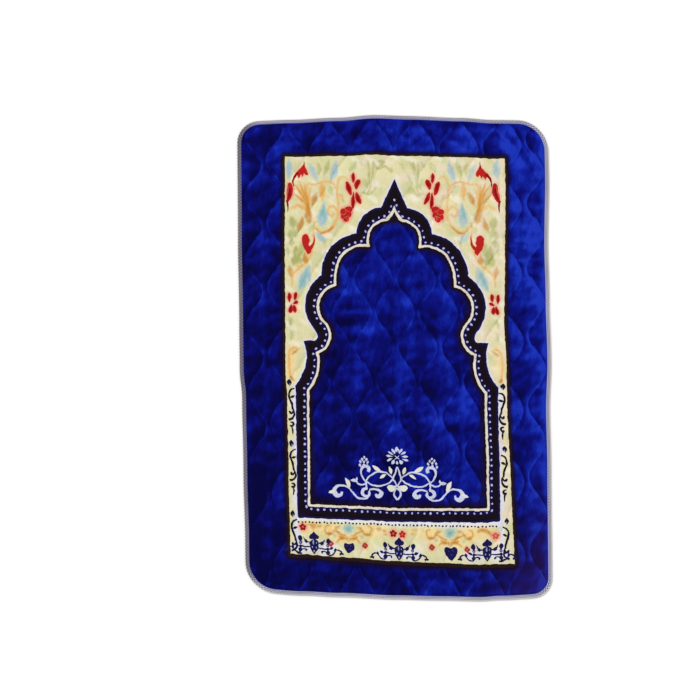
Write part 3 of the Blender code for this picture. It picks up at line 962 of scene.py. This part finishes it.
def wobbled(ring):
    x, y = ring[:, 0], ring[:, 1]
    shiftX = lumps(x, y, 13, 21) + 0.8 * lumps(x, y, 5.5, 22)
    shiftY = lumps(x, y, 13, 23) + 0.8 * lumps(x, y, 5.5, 24)
    return ring + face["wobble"] * np.stack([shiftX, shiftY], axis=1)


crisp = [(wobbled(ring), dye) for ring, dye in crisp]
soft = [(wobbled(ring), None if rib is None else wobbled(rib), dye, edge, strength)
        for ring, rib, dye, edge, strength in soft]


def facePoints():
    # every point and drawn line of the face, in the plain rectangle
    drawn = []
    rim = np.stack(rimPoints(4.2), axis=1)
    drawn.append((rim, True))
    height = rug["length"] / 2 - 3.5
    y = np.linspace(-height, height, 240)
    for line in stitchLines(y):
        drawn.append((np.stack([line, y], axis=1), False))
    drawn += [(ring, True) for ring, _ in crisp]
    for ring, rib, _, _, _ in soft:
        drawn.append((ring, True))
        if rib is not None and len(rib) > 2:
            drawn.append((rib, False))
    points, edges = [], []
    for run, closed in drawn:
        first = len(points)
        points += [tuple(point) for point in run]
        edges += [(first + i, first + i + 1) for i in range(len(run) - 1)]
        if closed:
            edges.append((first + len(run) - 1, first))
    loose = []
    halfX, halfY = rug["width"] / 2 - 2, rug["length"] / 2 - 2
    for spacing, inPanel in ((face["fieldSpacing"], False), (face["panelSpacing"], True)):
        rows = np.arange(-halfY, halfY, spacing * 0.866)
        for number, rowY in enumerate(rows):
            rowX = np.arange(-halfX + (number % 2) * spacing / 2, halfX, spacing)
            loose.append(np.stack([rowX, np.full(len(rowX), rowY), np.full(len(rowX), float(inPanel))],
                                  axis=1))
    loose = np.vstack(loose)
    field = sortPoints(loose[:, 0], loose[:, 1])
    inPrint = insideRing(field, panelRing) & ~insideRing(field, innerRing)
    keep = inPrint == (loose[:, 2] > 0.5)
    loose = loose[keep]
    for beside in (-1.8, 1.8):      # the stitching's shoulders
        for line in stitchLines(y):
            loose = np.vstack([loose, np.stack([line + beside, y, np.zeros(len(y))], axis=1)])
    field = sortPoints(loose[:, 0], loose[:, 1])
    away = np.full(len(loose), 9.0)
    for run, closed in drawn:
        away = np.minimum(away, distanceTo(field, run, face["clearance"], closed))
    loose = loose[away >= face["clearance"]]
    points += [(x, y) for x, y, _ in loose]
    return points, edges


print("face: points")
points, edges = facePoints()
cdt = delaunay_2d_cdt(points, edges, [], 0, 0.0001, False)
flat = np.array([tuple(point) for point in cdt[0]])
triangles = np.array([tuple(corner) for corner in cdt[2]])
a, b, c = flat[triangles[:, 0]], flat[triangles[:, 1]], flat[triangles[:, 2]]
area = (b[:, 0] - a[:, 0]) * (c[:, 1] - a[:, 1]) - (b[:, 1] - a[:, 1]) * (c[:, 0] - a[:, 0])
triangles = np.where(area[:, None] < 0, triangles[:, ::-1], triangles)
print("face:", len(points), "points in,", len(flat), "out,", len(triangles), "triangles, least area",
      abs(area).min())


# dyeing the face

def eyeColour(colour):
    # a colour as the eye sees it, 0 to 255, made linear
    share = np.array(colour) / 255
    return tuple(np.where(share <= 0.04045, share / 12.92, ((share + 0.055) / 1.055) ** 2.4)) + (1.0,)


def linear(dye):
    return np.array(eyeColour(dyes[dye])[:3])


def smoothShare(value, start, end):
    share = np.clip((value - start) / (end - start), 0, 1)
    return share * share * (3 - 2 * share)


def blend(first, second, share):
    return first + (second - first) * np.asarray(share)[:, None]


def dyeCorners():
    # one colour for each corner of each triangle; alpha says how much the brushed blue pile, with its painted
    # shade, covers it
    x, y = flat[:, 0], flat[:, 1]
    corners = sortPoints(x, y)
    one = np.ones((len(flat), 1))
    frameAway = distanceTo(corners, frameRing, 40)
    fieldAway = distanceTo(corners, fieldRing, 60)
    low = smoothShare(-y, 150, 330)             # the printer's brown spreads further low in the field
    tones = {dye: linear(dye) * one for dye in dyes}
    pileShare = {}
    reach = panel["frameFade"] * (1 + 0.5 * smoothShare(-y, 380, 450) + 0.3 * lumps(x, y, 40, 31))
    # the lower right corner has faded to plum
    plumShare = smoothShare(x / 341 - y / 533, 1.25, 2.0) * 0.42
    fromFrame = smoothShare(frameAway / reach, 0, 1) ** 0.8
    tones["blue"] = blend(tones["blue"], linear("plum"), plumShare * fromFrame)
    pileShare["blue"] = fromFrame * (1 - plumShare)
    reach = panel["fieldFade"] * (1 + 0.9 * low + 0.5 * smoothShare(x, 60, 200) + 0.35 * lumps(x, y, 50, 32))
    pileShare["fieldBlue"] = smoothShare(fieldAway / reach, -0.25, 1) ** 0.8
    cream = blend(tones["cream"], linear("creamGreen"), smoothShare(lumps(x, y, 44, 33), -0.2, 1.0) * 0.75)
    cream = blend(cream, linear("creamWarm"), smoothShare(lumps(x, y, 34, 34) + x / 400, 0.0, 1.1) * 0.8)
    cream = blend(cream, linear("creamPale"), smoothShare(lumps(x, y, 17, 37), 0.3, 1.2) * 0.8)
    cream = blend(cream, linear("creamGreen"), smoothShare(lumps(x, y, 15, 38), 0.3, 1.3) * 0.6)
    cream = blend(cream, linear("creamGreen"), smoothShare(-y, 360, 400) * 0.3)
    for ring, _, dye, edge, strength in soft:
        inside = insideRing(corners, ring)
        if not inside.any():
            continue
        depth = distanceTo(corners, ring, edge * 1.2) * np.where(inside, 1, -1)
        share = smoothShare(depth, -edge, edge) * strength
        share = share * (1 + 0.18 * lumps(x, y, 9, 35))
        cream = blend(cream, linear(dye), np.clip(share, 0, 1))
    tones["cream"] = cream
    # the arch's band runs from navy at its rim to brown-black in its middle
    rimAway = distanceTo(corners, outerRing, 20) + 0.6 * lumps(x, y, 16, 36)
    tones["band"] = blend(tones["navyLine"], linear("brownBlack"), smoothShare(rimAway, 1.0, 6.5))
    innerAway = distanceTo(corners, innerRing, 20) + 0.6 * lumps(x, y, 16, 39)
    tones["bandBlue"] = blend(tones["bandBlue"], linear("brownBlack"), smoothShare(innerAway, 9.0, 12.5))
    centre = flat[triangles].mean(axis=1)
    centres = sortPoints(centre[:, 0], centre[:, 1])
    ground = np.zeros(len(triangles), int)
    names = ["blue"] + [dye for _, dye in crisp]
    for number, (ring, _) in enumerate(crisp):
        ground[insideRing(centres, ring)] = number + 1
    colour = np.zeros((len(triangles), 3, 4))
    for dye in set(names):
        here = np.isin(ground, [i for i, name in enumerate(names) if name == dye])
        colour[here, :, :3] = tones[dye][triangles[here]]
        if dye in pileShare:
            colour[here, :, 3] = pileShare[dye][triangles[here]]
    return colour


pile = {
    # how bright the brushed blue pile looks, 0 to 1, before the finer streaks of its material: its tone with
    # painted shade, painted sheen and painted highlights
    "middle": 0.40,
    "paintedLightAcross": 0.0005,            # painted light: brighter to the right, per millimetre
    "paintedLightAlong": 0.0003,             # painted light: and brighter towards the tip
    "paintedSlopeShadeStrength": 1.3,            # painted shade: pillows are brighter where they slope up and to the right, as if lit from there
    "stitchHighlight": 0.22,             # a painted highlight: a thin lighter line along the stitching
    "patches": 0.12,
    # painted sheen and shade at the rims: side, change at the rim, how far it reaches
    "paintedRimSheenAndShade": (("right", 0.10, 16), ("left", -0.20, 40), ("top", -0.34, 10), ("top", -0.04, 90),
             ("bottom", 0.30, 12), ("bottom", 0.02, 90)),
}


def pileToneWithPaintedShade(x, y):
    step = 1.5
    # painted shade: slopes that face the upper right are made brighter, the others darker
    slopeX = (faceHeight(x + step, y) - faceHeight(x - step, y)) / (2 * step)
    slopeY = (faceHeight(x, y + step) - faceHeight(x, y - step)) / (2 * step)
    paintedLightFromRight = 0.35 + x / 330
    paintedSlopeShade = -(slopeX * paintedLightFromRight + slopeY * 0.75)
    # painted light: the blue grows brighter to the right and towards the tip
    tone = pile["middle"] + pile["paintedLightAcross"] * x + pile["paintedLightAlong"] * y
    tone += pile["paintedSlopeShadeStrength"] * paintedSlopeShade / (1 + abs(paintedSlopeShade) * 2.2)
    # painted highlight along each line of stitching
    away = abs(x - stitchLines(y)).min(axis=0)
    tone += pile["stitchHighlight"] * np.exp(-(away / 1.2) ** 2)
    tone += pile["patches"] * (lumps(x, y, 60, 41) + lumps(x, y, 24, 42) + 0.7 * lumps(x, y, 11, 43))
    halfX, halfY = rug["width"] / 2, rug["length"] / 2
    away = {"right": halfX - x, "left": halfX + x, "top": halfY - y, "bottom": halfY + y}
    # painted sheen and painted shade along the rims
    for side, change, reach in pile["paintedRimSheenAndShade"]:
        tone += change * np.exp(-(away[side] / reach) ** 2)
    return np.clip(tone, -0.3, 1.2)


def rimOrder(points2d):
    # the numbers of the points on the rectangle's rim, in order once round it
    halfX, halfY = rug["width"] / 2, rug["length"] / 2
    x, y = points2d[:, 0], points2d[:, 1]
    near = 0.01
    onRim = np.flatnonzero((abs(abs(x) - halfX) < near) | (abs(abs(y) - halfY) < near))
    def along(i):
        if abs(y[i] + halfY) < near and x[i] < halfX - near:
            return x[i] + halfX
        if abs(x[i] - halfX) < near and y[i] < halfY - near:
            return rug["width"] + y[i] + halfY
        if abs(y[i] - halfY) < near and x[i] > -halfX + near:
            return rug["width"] + rug["length"] + halfX - x[i]
        return 2 * rug["width"] + rug["length"] + halfY - y[i]
    return sorted(onRim, key=along)


def makeFace():
    colour = dyeCorners()
    x, y = carryToRug(flat[:, 0], flat[:, 1])
    top = np.stack([x, y, faceHeight(flat[:, 0], flat[:, 1]) * mm], axis=1)
    rim = rimOrder(flat)
    # the underside: the same rim and a wide grid
    under = [tuple(flat[i]) for i in rim]
    ringEdges = [(i, (i + 1) % len(rim)) for i in range(len(rim))]
    for gridY in np.arange(-500, 501, 25):
        under += [(gridX, gridY) for gridX in np.arange(-312.5, 313, 25)]
    lower = delaunay_2d_cdt(under, ringEdges, [], 0, 0.0001, False)
    lowerFlat = np.array([tuple(point) for point in lower[0]])
    lowerRim = rimOrder(lowerFlat)
    lowX, lowY = carryToRug(lowerFlat[:, 0], lowerFlat[:, 1])
    bottom = np.stack([lowX, lowY, np.full(len(lowX), face["underside"])], axis=1)
    first = len(top)
    lowerTriangles = []
    for i, j, k in lower[2]:
        turned = np.cross(lowerFlat[j] - lowerFlat[i], lowerFlat[k] - lowerFlat[i]) > 0
        lowerTriangles.append((first + i, first + k, first + j) if turned else (first + i, first + j,
                                                                                first + k))
    walls = []
    for n in range(len(rim)):
        m = (n + 1) % len(rim)
        walls.append((rim[m], rim[n], first + lowerRim[n]))
        walls.append((rim[m], first + lowerRim[n], first + lowerRim[m]))
    faces = np.vstack([triangles, np.array(walls), np.array(lowerTriangles)])
    mesh = bpy.data.meshes.new("quilted_face")
    mesh.from_pydata(np.vstack([top, bottom]), [], faces.tolist())
    # colours
    wallColour = np.tile(np.append(linear("blue"), 1.0), (len(faces) - len(triangles), 3, 1))
    colours = np.vstack([colour, wallColour])
    mesh.attributes.new("dye", "FLOAT_COLOR", "CORNER").data.foreach_set("color", colours.ravel())
    # the pile attribute: the blue's tone with its painted shade and highlights
    tone = np.concatenate([pileToneWithPaintedShade(flat[:, 0], flat[:, 1]), np.full(len(bottom), pile["middle"])])
    mesh.attributes.new("pile", "FLOAT", "POINT").data.foreach_set("value", tone)
    # a flat map of the whole print: the face at the left, the underside small at the right
    scale = 1 / (rug["length"] + 12)
    places = np.vstack([flat, lowerFlat])
    spread = places.copy()
    spread[first:] += np.sign(lowerFlat) * (abs(abs(lowerFlat) - (rug["width"] / 2,
                                                                  rug["length"] / 2)) < 0.01) * 5
    onFace = (spread + (rug["width"] / 2 + 6, rug["length"] / 2 + 6)) * scale
    small = 0.44 * scale
    onUnder = (places + (rug["width"] / 2, rug["length"] / 2)) * small + (0.67, 0.01)
    uv = onFace[faces]
    uv[len(triangles) + len(walls):] = onUnder[faces[len(triangles) + len(walls):]]
    mesh.uv_layers.new(name="OFBake").data.foreach_set("uv", uv.ravel())
    mesh.polygons.foreach_set("use_smooth", np.ones(len(faces), bool))
    material = np.zeros(len(faces), int)
    material[len(triangles) + len(walls):] = 1
    mesh.polygons.foreach_set("material_index", material)
    mesh.update()
    piece = bpy.data.objects.new("quilted_face", mesh)
    scene.collection.objects.link(piece)
    return piece


# materials

def newMaterial(name, **sockets):
    material = bpy.data.materials.new(name)
    material.use_nodes = True
    shader = material.node_tree.nodes["Principled BSDF"]
    for socket, value in sockets.items():
        shader.inputs[socket.replace("_", " ")].default_value = value
    return material, material.node_tree, shader


def addNode(tree, kind, **settings):
    node = tree.nodes.new(kind)
    for key, value in settings.items():
        if key in node.inputs:
            node.inputs[key].default_value = value
        else:
            setattr(node, key, value)
    return node


def noiseOf(tree, vector, scale, detail=3.0, roughness=0.55, distortion=0.0):
    node = addNode(tree, "ShaderNodeTexNoise", Scale=scale, Detail=detail, Roughness=roughness,
                   Distortion=distortion)
    tree.links.new(vector, node.inputs["Vector"])
    return node.outputs["Fac"]


def mathOf(tree, operation, first, second, clamp=False):
    node = addNode(tree, "ShaderNodeMath", operation=operation, use_clamp=clamp)
    for number, value in enumerate((first, second)):
        if isinstance(value, (int, float)):
            node.inputs[number].default_value = value
        else:
            tree.links.new(value, node.inputs[number])
    return node.outputs[0]


def rangeOf(tree, value, low, high, newLow, newHigh, smooth=True):
    node = addNode(tree, "ShaderNodeMapRange", interpolation_type="SMOOTHSTEP" if smooth else "LINEAR")
    for number, setting in enumerate((low, high, newLow, newHigh)):
        node.inputs[number + 1].default_value = setting
    tree.links.new(value, node.inputs[0])
    return node.outputs[0]


def mixColours(tree, share, first, second, blendType="MIX"):
    node = addNode(tree, "ShaderNodeMix", data_type="RGBA", blend_type=blendType)
    for socket, value in ((node.inputs[0], share), (node.inputs[6], first), (node.inputs[7], second)):
        if isinstance(value, (tuple, list)):
            socket.default_value = value
        elif isinstance(value, (int, float)):
            socket.default_value = value
        else:
            tree.links.new(value, socket)
    return node.outputs[2]


def grainGroup():
    # fine fibres, as a value and as the normal that they give: shared by every cloth of the rug
    group = bpy.data.node_groups.new("fibre_grain", "ShaderNodeTree")
    for name, start in (("Scale", 900.0), ("Strength", 0.4), ("Depth", 0.0004)):
        socket = group.interface.new_socket(name, in_out="INPUT", socket_type="NodeSocketFloat")
        socket.default_value = start
    group.interface.new_socket("Grain", in_out="OUTPUT", socket_type="NodeSocketFloat")
    group.interface.new_socket("Normal", in_out="OUTPUT", socket_type="NodeSocketVector")
    given = addNode(group, "NodeGroupInput")
    result = addNode(group, "NodeGroupOutput")
    place = addNode(group, "ShaderNodeTexCoord").outputs["Object"]
    fibre = addNode(group, "ShaderNodeTexNoise", Detail=2.0, Roughness=0.6)
    group.links.new(place, fibre.inputs["Vector"])
    group.links.new(given.outputs["Scale"], fibre.inputs["Scale"])
    lay = noiseOf(group, place, 140.0, 3.0, 0.6, 0.5)
    height = mathOf(group, "ADD", mathOf(group, "MULTIPLY", fibre.outputs["Fac"], 0.45),
                    mathOf(group, "MULTIPLY", lay, 0.55))
    bump = addNode(group, "ShaderNodeBump")
    group.links.new(given.outputs["Strength"], bump.inputs["Strength"])
    group.links.new(given.outputs["Depth"], bump.inputs["Distance"])
    group.links.new(height, bump.inputs["Height"])
    group.links.new(fibre.outputs["Fac"], result.inputs["Grain"])
    group.links.new(bump.outputs[0], result.inputs["Normal"])
    return group


fibreGrain = grainGroup()


def grainOf(tree, scale, strength, depth):
    node = addNode(tree, "ShaderNodeGroup")
    node.node_tree = fibreGrain
    node.inputs["Scale"].default_value = scale
    node.inputs["Strength"].default_value = strength
    node.inputs["Depth"].default_value = depth
    return node.outputs["Grain"], node.outputs["Normal"]


plush = {
    "roughness": 0.9,
    "sheen": 0.10,
    "sheenRoughness": 0.4,
    "sheenTint": (0.25, 0.38, 1.0, 1.0),
    "specular": 0.03,
    "patchScale": 11.0,             # brushed patches, per metre
    "patchShare": 0.8,
    "streakScale": 55.0,
    "streakShare": 0.6,
    "tuftScale": 260.0,
    "tuftShare": 0.3,
    "pileScale": 900.0,
    # the blue pile from its painted shade, where it leans away, to its painted highlight, where it catches
    # the light
    "blues": ((0.0, (6, 5, 62)), (0.22, (7, 8, 86)), (0.42, (10, 14, 114)), (0.66, (14, 30, 148)),
              (0.95, (28, 52, 184))),
}


def plushMaterial():
    material, tree, shader = newMaterial("plush_pile", Roughness=plush["roughness"],
                                         Sheen_Weight=plush["sheen"],
                                         Sheen_Roughness=plush["sheenRoughness"],
                                         Sheen_Tint=plush["sheenTint"],
                                         Specular_IOR_Level=plush["specular"])
    place = addNode(tree, "ShaderNodeTexCoord").outputs["Object"]
    dye = addNode(tree, "ShaderNodeAttribute", attribute_name="dye")
    # the pile attribute holds the blue's tone with painted shade and highlights
    pileToneWithShade = addNode(tree, "ShaderNodeAttribute", attribute_name="pile").outputs["Fac"]
    # brushed patches and finer streaks, in which the pile leans one way or the other
    stretched = addNode(tree, "ShaderNodeMapping")
    stretched.inputs["Rotation"].default_value = (0, 0, 0.5)
    stretched.inputs["Scale"].default_value = (1.0, 0.6, 1.0)
    tree.links.new(place, stretched.inputs["Vector"])
    patch = noiseOf(tree, stretched.outputs[0], plush["patchScale"], 4.0, 0.62, 0.8)
    brushed = addNode(tree, "ShaderNodeMapping")
    brushed.inputs["Scale"].default_value = (1.0, 0.45, 1.0)
    tree.links.new(place, brushed.inputs["Vector"])
    streak = noiseOf(tree, brushed.outputs[0], plush["streakScale"], 4.0, 0.65, 0.6)
    tuft = noiseOf(tree, brushed.outputs[0], plush["tuftScale"], 2.0, 0.6)
    tone = pileToneWithShade
    for noise, share in ((patch, plush["patchShare"]), (streak, plush["streakShare"]), (tuft,
                                                                                        plush["tuftShare"])):
        tone = mathOf(tree, "ADD", tone, mathOf(tree, "MULTIPLY", mathOf(tree, "SUBTRACT", noise, 0.5),
                                                share))
    ramp = addNode(tree, "ShaderNodeValToRGB")
    while len(ramp.color_ramp.elements) < len(plush["blues"]):
        ramp.color_ramp.elements.new(0.5)
    for element, (position, colour) in zip(ramp.color_ramp.elements, plush["blues"]):
        element.position = position
        element.color = eyeColour(colour)
    tree.links.new(tone, ramp.inputs[0])
    colour = mixColours(tree, dye.outputs["Alpha"], dye.outputs["Color"], ramp.outputs[0])
    fibre, normal = grainOf(tree, plush["pileScale"], 0.35, 0.001)
    speck = rangeOf(tree, fibre, 0.3, 0.7, 0.86, 1.10)
    mottle = rangeOf(tree, tuft, 0.3, 0.7, 0.965, 1.03)
    speckColour = addNode(tree, "ShaderNodeCombineColor")
    for socket in speckColour.inputs[:3]:
        tree.links.new(mathOf(tree, "MULTIPLY", speck, mottle), socket)
    colour = mixColours(tree, 1.0, colour, speckColour.outputs[0], "MULTIPLY")
    tree.links.new(colour, shader.inputs["Base Color"])
    tree.links.new(normal, shader.inputs["Normal"])
    return material


underside = {
    "dark": (0.012, 0.016, 0.09, 1),
    "light": (0.02, 0.028, 0.13, 1),
}


def undersideMaterial():
    material, tree, shader = newMaterial("underside_cloth", Roughness=0.9, Specular_IOR_Level=0.2)
    place = addNode(tree, "ShaderNodeTexCoord").outputs["Object"]
    blot = noiseOf(tree, place, 9.0, 2.0)
    colour = mixColours(tree, rangeOf(tree, blot, 0.3, 0.7, 0.0, 1.0), underside["dark"], underside["light"])
    tree.links.new(colour, shader.inputs["Base Color"])
    tree.links.new(grainOf(tree, 600.0, 0.4, 0.0004)[1], shader.inputs["Normal"])
    return material


print("face: mesh")
quiltedFace = makeFace()
quiltedFace.data.materials.append(plushMaterial())
quiltedFace.data.materials.append(undersideMaterial())
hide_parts("quilted_pad")
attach(quiltedFace, "root")


# braid round the rim

braid = {
    "gap": 0.3,                     # between the pad's wall and the braid
    "width": 9.5,
    "strand": 2.2,                  # across one strand
    "lobe": 7.1,                    # from one loop to the next along each edge
    "samples": 20,                  # rings of points in one full swing of a strand
    "sides": 8,
    "middleHeight": 3.3,
    "weave": 1.2,                   # how far a strand dips and rises
    "core": (3.8, 0.4, 1.7),        # the dark core under the strands, dark yarn with painted shade: half width, foot, top
}


def rimTrack(reach, spacing):
    # the rug's rim, moved outwards by `reach`, as even steps: place, direction outwards
    x, y = unevenRug(*rimPoints(1.5))
    loop = np.stack([x - middle[0], y - middle[1]], axis=1)
    loop = turnLeft(loop)
    for _ in range(3):
        loop = (np.roll(loop, 1, axis=0) + 2 * loop + np.roll(loop, -1, axis=0)) / 4
    tangent = np.roll(loop, -1, axis=0) - np.roll(loop, 1, axis=0)
    tangent /= np.hypot(*tangent.T)[:, None]
    out = np.stack([tangent[:, 1], -tangent[:, 0]], axis=1)
    loop = loop + out * reach
    steps = np.concatenate([[0], np.cumsum(np.hypot(*(np.roll(loop, -1, axis=0) - loop).T))])
    count = round(steps[-1] / spacing)
    at = np.arange(count) / count * steps[-1]
    closed = np.vstack([loop, loop[:1]])
    outs = np.vstack([out, out[:1]])
    place = np.stack([np.interp(at, steps, closed[:, i]) for i in (0, 1)], axis=1)
    way = np.stack([np.interp(at, steps, outs[:, i]) for i in (0, 1)], axis=1)
    return place, way / np.hypot(*way.T)[:, None], steps[-1]


def makeBraid():
    swing = 3 * braid["lobe"]
    middleReach = braid["gap"] + braid["width"] / 2
    _, _, length = rimTrack(middleReach, swing)
    swings = round(length / swing)
    track, out, length = rimTrack(middleReach, length / (swings * braid["samples"]))
    total = len(track)
    phase = 2 * math.pi * swings * np.arange(total) / total
    reach = (braid["width"] - braid["strand"]) / 2
    verts, faces, underShadesAndCore, lilac, uvs = [], [], [], [], []
    rowsInMap = 35
    ringsInRow = math.ceil(3 * total / (rowsInMap - 1))

    def addTube(rings, shade, side, firstRow, ringsInRow):
        # one closed tube from its rings of points
        count, around = rings.shape[:2]
        first = len(verts)
        verts.extend(rings.reshape(-1, 3) * mm)
        for ring in range(count):
            after = (ring + 1) % count
            row, place = divmod(round(firstRow * ringsInRow) + ring, ringsInRow)
            for k in range(around):
                beside = (k + 1) % around
                faces.append((first + ring * around + k, first + ring * around + beside,
                              first + after * around + beside, first + after * around + k))
                left, right = place / ringsInRow, (place + 0.98) / ringsInRow
                low = (row + 0.04 + 0.9 * k / around) / rowsInMap
                high = (row + 0.04 + 0.9 * (k + 1) / around) / rowsInMap
                uvs.extend([(left, low), (left, high), (right, high), (right, low)])
                underShadesAndCore.extend([shade[ring], shade[ring], shade[after], shade[after]])
                lilac.extend([side[ring, k], side[ring, beside], side[after, beside], side[after, k]])

    angles = 2 * math.pi * np.arange(braid["sides"]) / braid["sides"]
    for strand in range(3):
        own = phase + strand * 2 * math.pi / 3
        across = reach * np.sin(own)
        rise = braid["middleHeight"] + braid["weave"] * np.sin(2 * own)
        centre = np.column_stack([track + out * across[:, None], rise])
        ahead = np.roll(centre, -1, axis=0) - np.roll(centre, 1, axis=0)
        ahead /= np.linalg.norm(ahead, axis=1)[:, None]
        sideways = np.cross(ahead, (0, 0, 1))
        sideways /= np.linalg.norm(sideways, axis=1)[:, None]
        upright = np.cross(sideways, ahead)
        rings = centre[:, None] + (sideways[:, None] * np.cos(angles)[:, None]
                                   + upright[:, None] * np.sin(angles)[:, None] * 0.86) * braid["strand"] / 2
        paintedUnderShade = np.clip(-np.sin(2 * own), 0, 1)          # painted shade: darker where a strand dives under the next
        inner = np.repeat(0.5 - 0.5 * np.sin(own)[:, None], braid["sides"], axis=1)
        addTube(rings, paintedUnderShade * 0.3, inner, strand * total / ringsInRow, ringsInRow)
    halfCore, foot, top = braid["core"]
    corners = np.array(((-halfCore, foot), (halfCore, foot), (halfCore, top), (-halfCore, top)))
    place = np.arange(0, total, 4)
    rings = np.concatenate([(track[place, None] + out[place, None] * corners[:, :1]),
                            np.tile(corners[:, 1:], (len(place), 1, 1))], axis=2)
    addTube(rings, np.ones(len(place)), np.tile((1.0, 0.0, 0.0, 1.0), (len(place), 1)), rowsInMap - 1,
            len(place))
    mesh = bpy.data.meshes.new("edge_braid_yarn")
    mesh.from_pydata(verts, [], faces)
    mesh.attributes.new("underShadeAndCore", "FLOAT", "CORNER").data.foreach_set("value", underShadesAndCore)
    mesh.attributes.new("inward", "FLOAT", "CORNER").data.foreach_set("value", lilac)
    mesh.uv_layers.new(name="OFBake").data.foreach_set("uv", np.array(uvs).ravel())
    mesh.polygons.foreach_set("use_smooth", np.ones(len(faces), bool))
    mesh.update()
    piece = bpy.data.objects.new("edge_braid_yarn", mesh)
    scene.collection.objects.link(piece)
    print("braid:", len(faces) * 2, "triangles,", swings, "swings,", round(length), "mm")
    return piece


yarn = {
    "outer": (226, 219, 210),
    "inner": (188, 192, 240),
    "holeOuterYarnAndShade": (40, 30, 30),      # what shows between the strands: dark yarn with painted shade
    "holeInnerYarnAndShade": (16, 16, 72),
    "soil": ((0.36, 0.30, 0.28, 1), 0.2),       # colour, most of it
    "shade": ((0.3, 0.27, 0.33, 1), 0.2),       # between the hairs
    "leftRunDark": (0.10, 0.06, 0.09, 1),
    "leftRunDarkening": 0.62,               # the left run is made darker
}


def yarnMaterial():
    material, tree, shader = newMaterial("braid_yarn", Roughness=0.7, Sheen_Weight=0.05, Sheen_Roughness=0.5,
                                         Specular_IOR_Level=0.25)
    place = addNode(tree, "ShaderNodeTexCoord").outputs["Object"]
    underShadeAndCore = addNode(tree, "ShaderNodeAttribute", attribute_name="underShadeAndCore").outputs["Fac"]
    inward = addNode(tree, "ShaderNodeAttribute", attribute_name="inward").outputs["Fac"]
    colour = mixColours(tree, inward, eyeColour(yarn["outer"]), eyeColour(yarn["inner"]))
    holeYarnAndShade = mixColours(tree, inward, eyeColour(yarn["holeOuterYarnAndShade"]), eyeColour(yarn["holeInnerYarnAndShade"]))
    fuzz, normal = grainOf(tree, 1500.0, 0.6, 0.0004)
    soil = noiseOf(tree, place, 14.0, 2.0)
    colour = mixColours(tree, rangeOf(tree, soil, 0.4, 0.7, 0.0, yarn["soil"][1]), colour, yarn["soil"][0])
    colour = mixColours(tree, rangeOf(tree, fuzz, 0.35, 0.65, yarn["shade"][1], 0.0), colour,
                        yarn["shade"][0])
    across = addNode(tree, "ShaderNodeSeparateXYZ")
    tree.links.new(place, across.inputs[0])
    # the whole left run is darkened towards this colour
    colour = mixColours(tree, rangeOf(tree, across.outputs[0], -0.345, -0.30, yarn["leftRunDarkening"], 0.0), colour,
                        yarn["leftRunDark"])
    # the strands' painted shade under crossings, and the core, take the hole colour
    colour = mixColours(tree, rangeOf(tree, underShadeAndCore, 0.1, 0.8, 0.0, 1.0), colour, holeYarnAndShade)
    tree.links.new(colour, shader.inputs["Base Color"])
    tree.links.new(normal, shader.inputs["Normal"])
    return material


print("braid")
edgeBraid = makeBraid()
edgeBraid.data.materials.append(yarnMaterial())
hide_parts("edge_braid")
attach(edgeBraid, "root")


# floor, light and camera

studio = {
    "photoPixel": 2.265 * mm,       # one pixel of the photograph on the rug
    "photoCentre": (-44.8, 7.0),    # the photograph's middle from the drawing's middle, in its pixels
    "lens": 85.0,
    "sensor": 36.0,
    "faceHeight": 0.008,
    "floorTone": (0.985, 0.985, 0.985, 1.0),
    "sky": 0.64,
    "keyPower": 4610.0,
    "keySize": 3.2,
    "keyPlace": (-9.8, 16.2, 22.0),
}


def makeFloor():
    bpy.ops.object.select_all(action="DESELECT")
    bpy.ops.mesh.primitive_plane_add(size=12, location=(0, 0, -0.0003))
    floor = bpy.context.object
    floor.name = "studio_floor"
    bpy.ops.object.transform_apply(location=True, rotation=True, scale=True)
    material, tree, shader = newMaterial("studio_floor", Roughness=0.95, Specular_IOR_Level=0.1)
    place = addNode(tree, "ShaderNodeTexCoord").outputs["Object"]
    grain = noiseOf(tree, place, 3.0, 2.0)
    low = tuple(tone * 0.99 for tone in studio["floorTone"][:3]) + (1.0,)
    colour = mixColours(tree, grain, low, studio["floorTone"])
    tree.links.new(colour, shader.inputs["Base Color"])
    floor.data.materials.append(material)


def addArea(name, place, power, size):
    light = bpy.data.lights.new(name, "AREA")
    light.energy = power
    light.shape = "DISK"
    light.size = size
    lamp = bpy.data.objects.new(name, light)
    lamp.location = place
    lamp.rotation_euler = (-lamp.location).to_track_quat("-Z", "Y").to_euler()
    scene.collection.objects.link(lamp)


def makeStudio():
    makeFloor()
    world = bpy.data.worlds.new("studio")
    world.use_nodes = True
    world.node_tree.nodes["Background"].inputs["Color"].default_value = (1.0, 1.0, 1.0, 1.0)
    world.node_tree.nodes["Background"].inputs["Strength"].default_value = studio["sky"]
    scene.world = world
    addArea("key", studio["keyPlace"], studio["keyPower"], studio["keySize"])
    camera = bpy.data.cameras.new("photo_camera")
    camera.lens = studio["lens"]
    camera.sensor_width = studio["sensor"]
    stand = bpy.data.objects.new("photo_camera", camera)
    width = 700 * studio["photoPixel"]
    height = width * studio["lens"] / studio["sensor"] + studio["faceHeight"]
    stand.location = (studio["photoCentre"][0] * studio["photoPixel"] - middle[0] * mm,
                      studio["photoCentre"][1] * studio["photoPixel"] - middle[1] * mm, height)
    scene.collection.objects.link(stand)
    scene.camera = stand
    scene.view_settings.view_transform = "Standard"
    scene.view_settings.look = "None"


print("studio")
makeStudio()
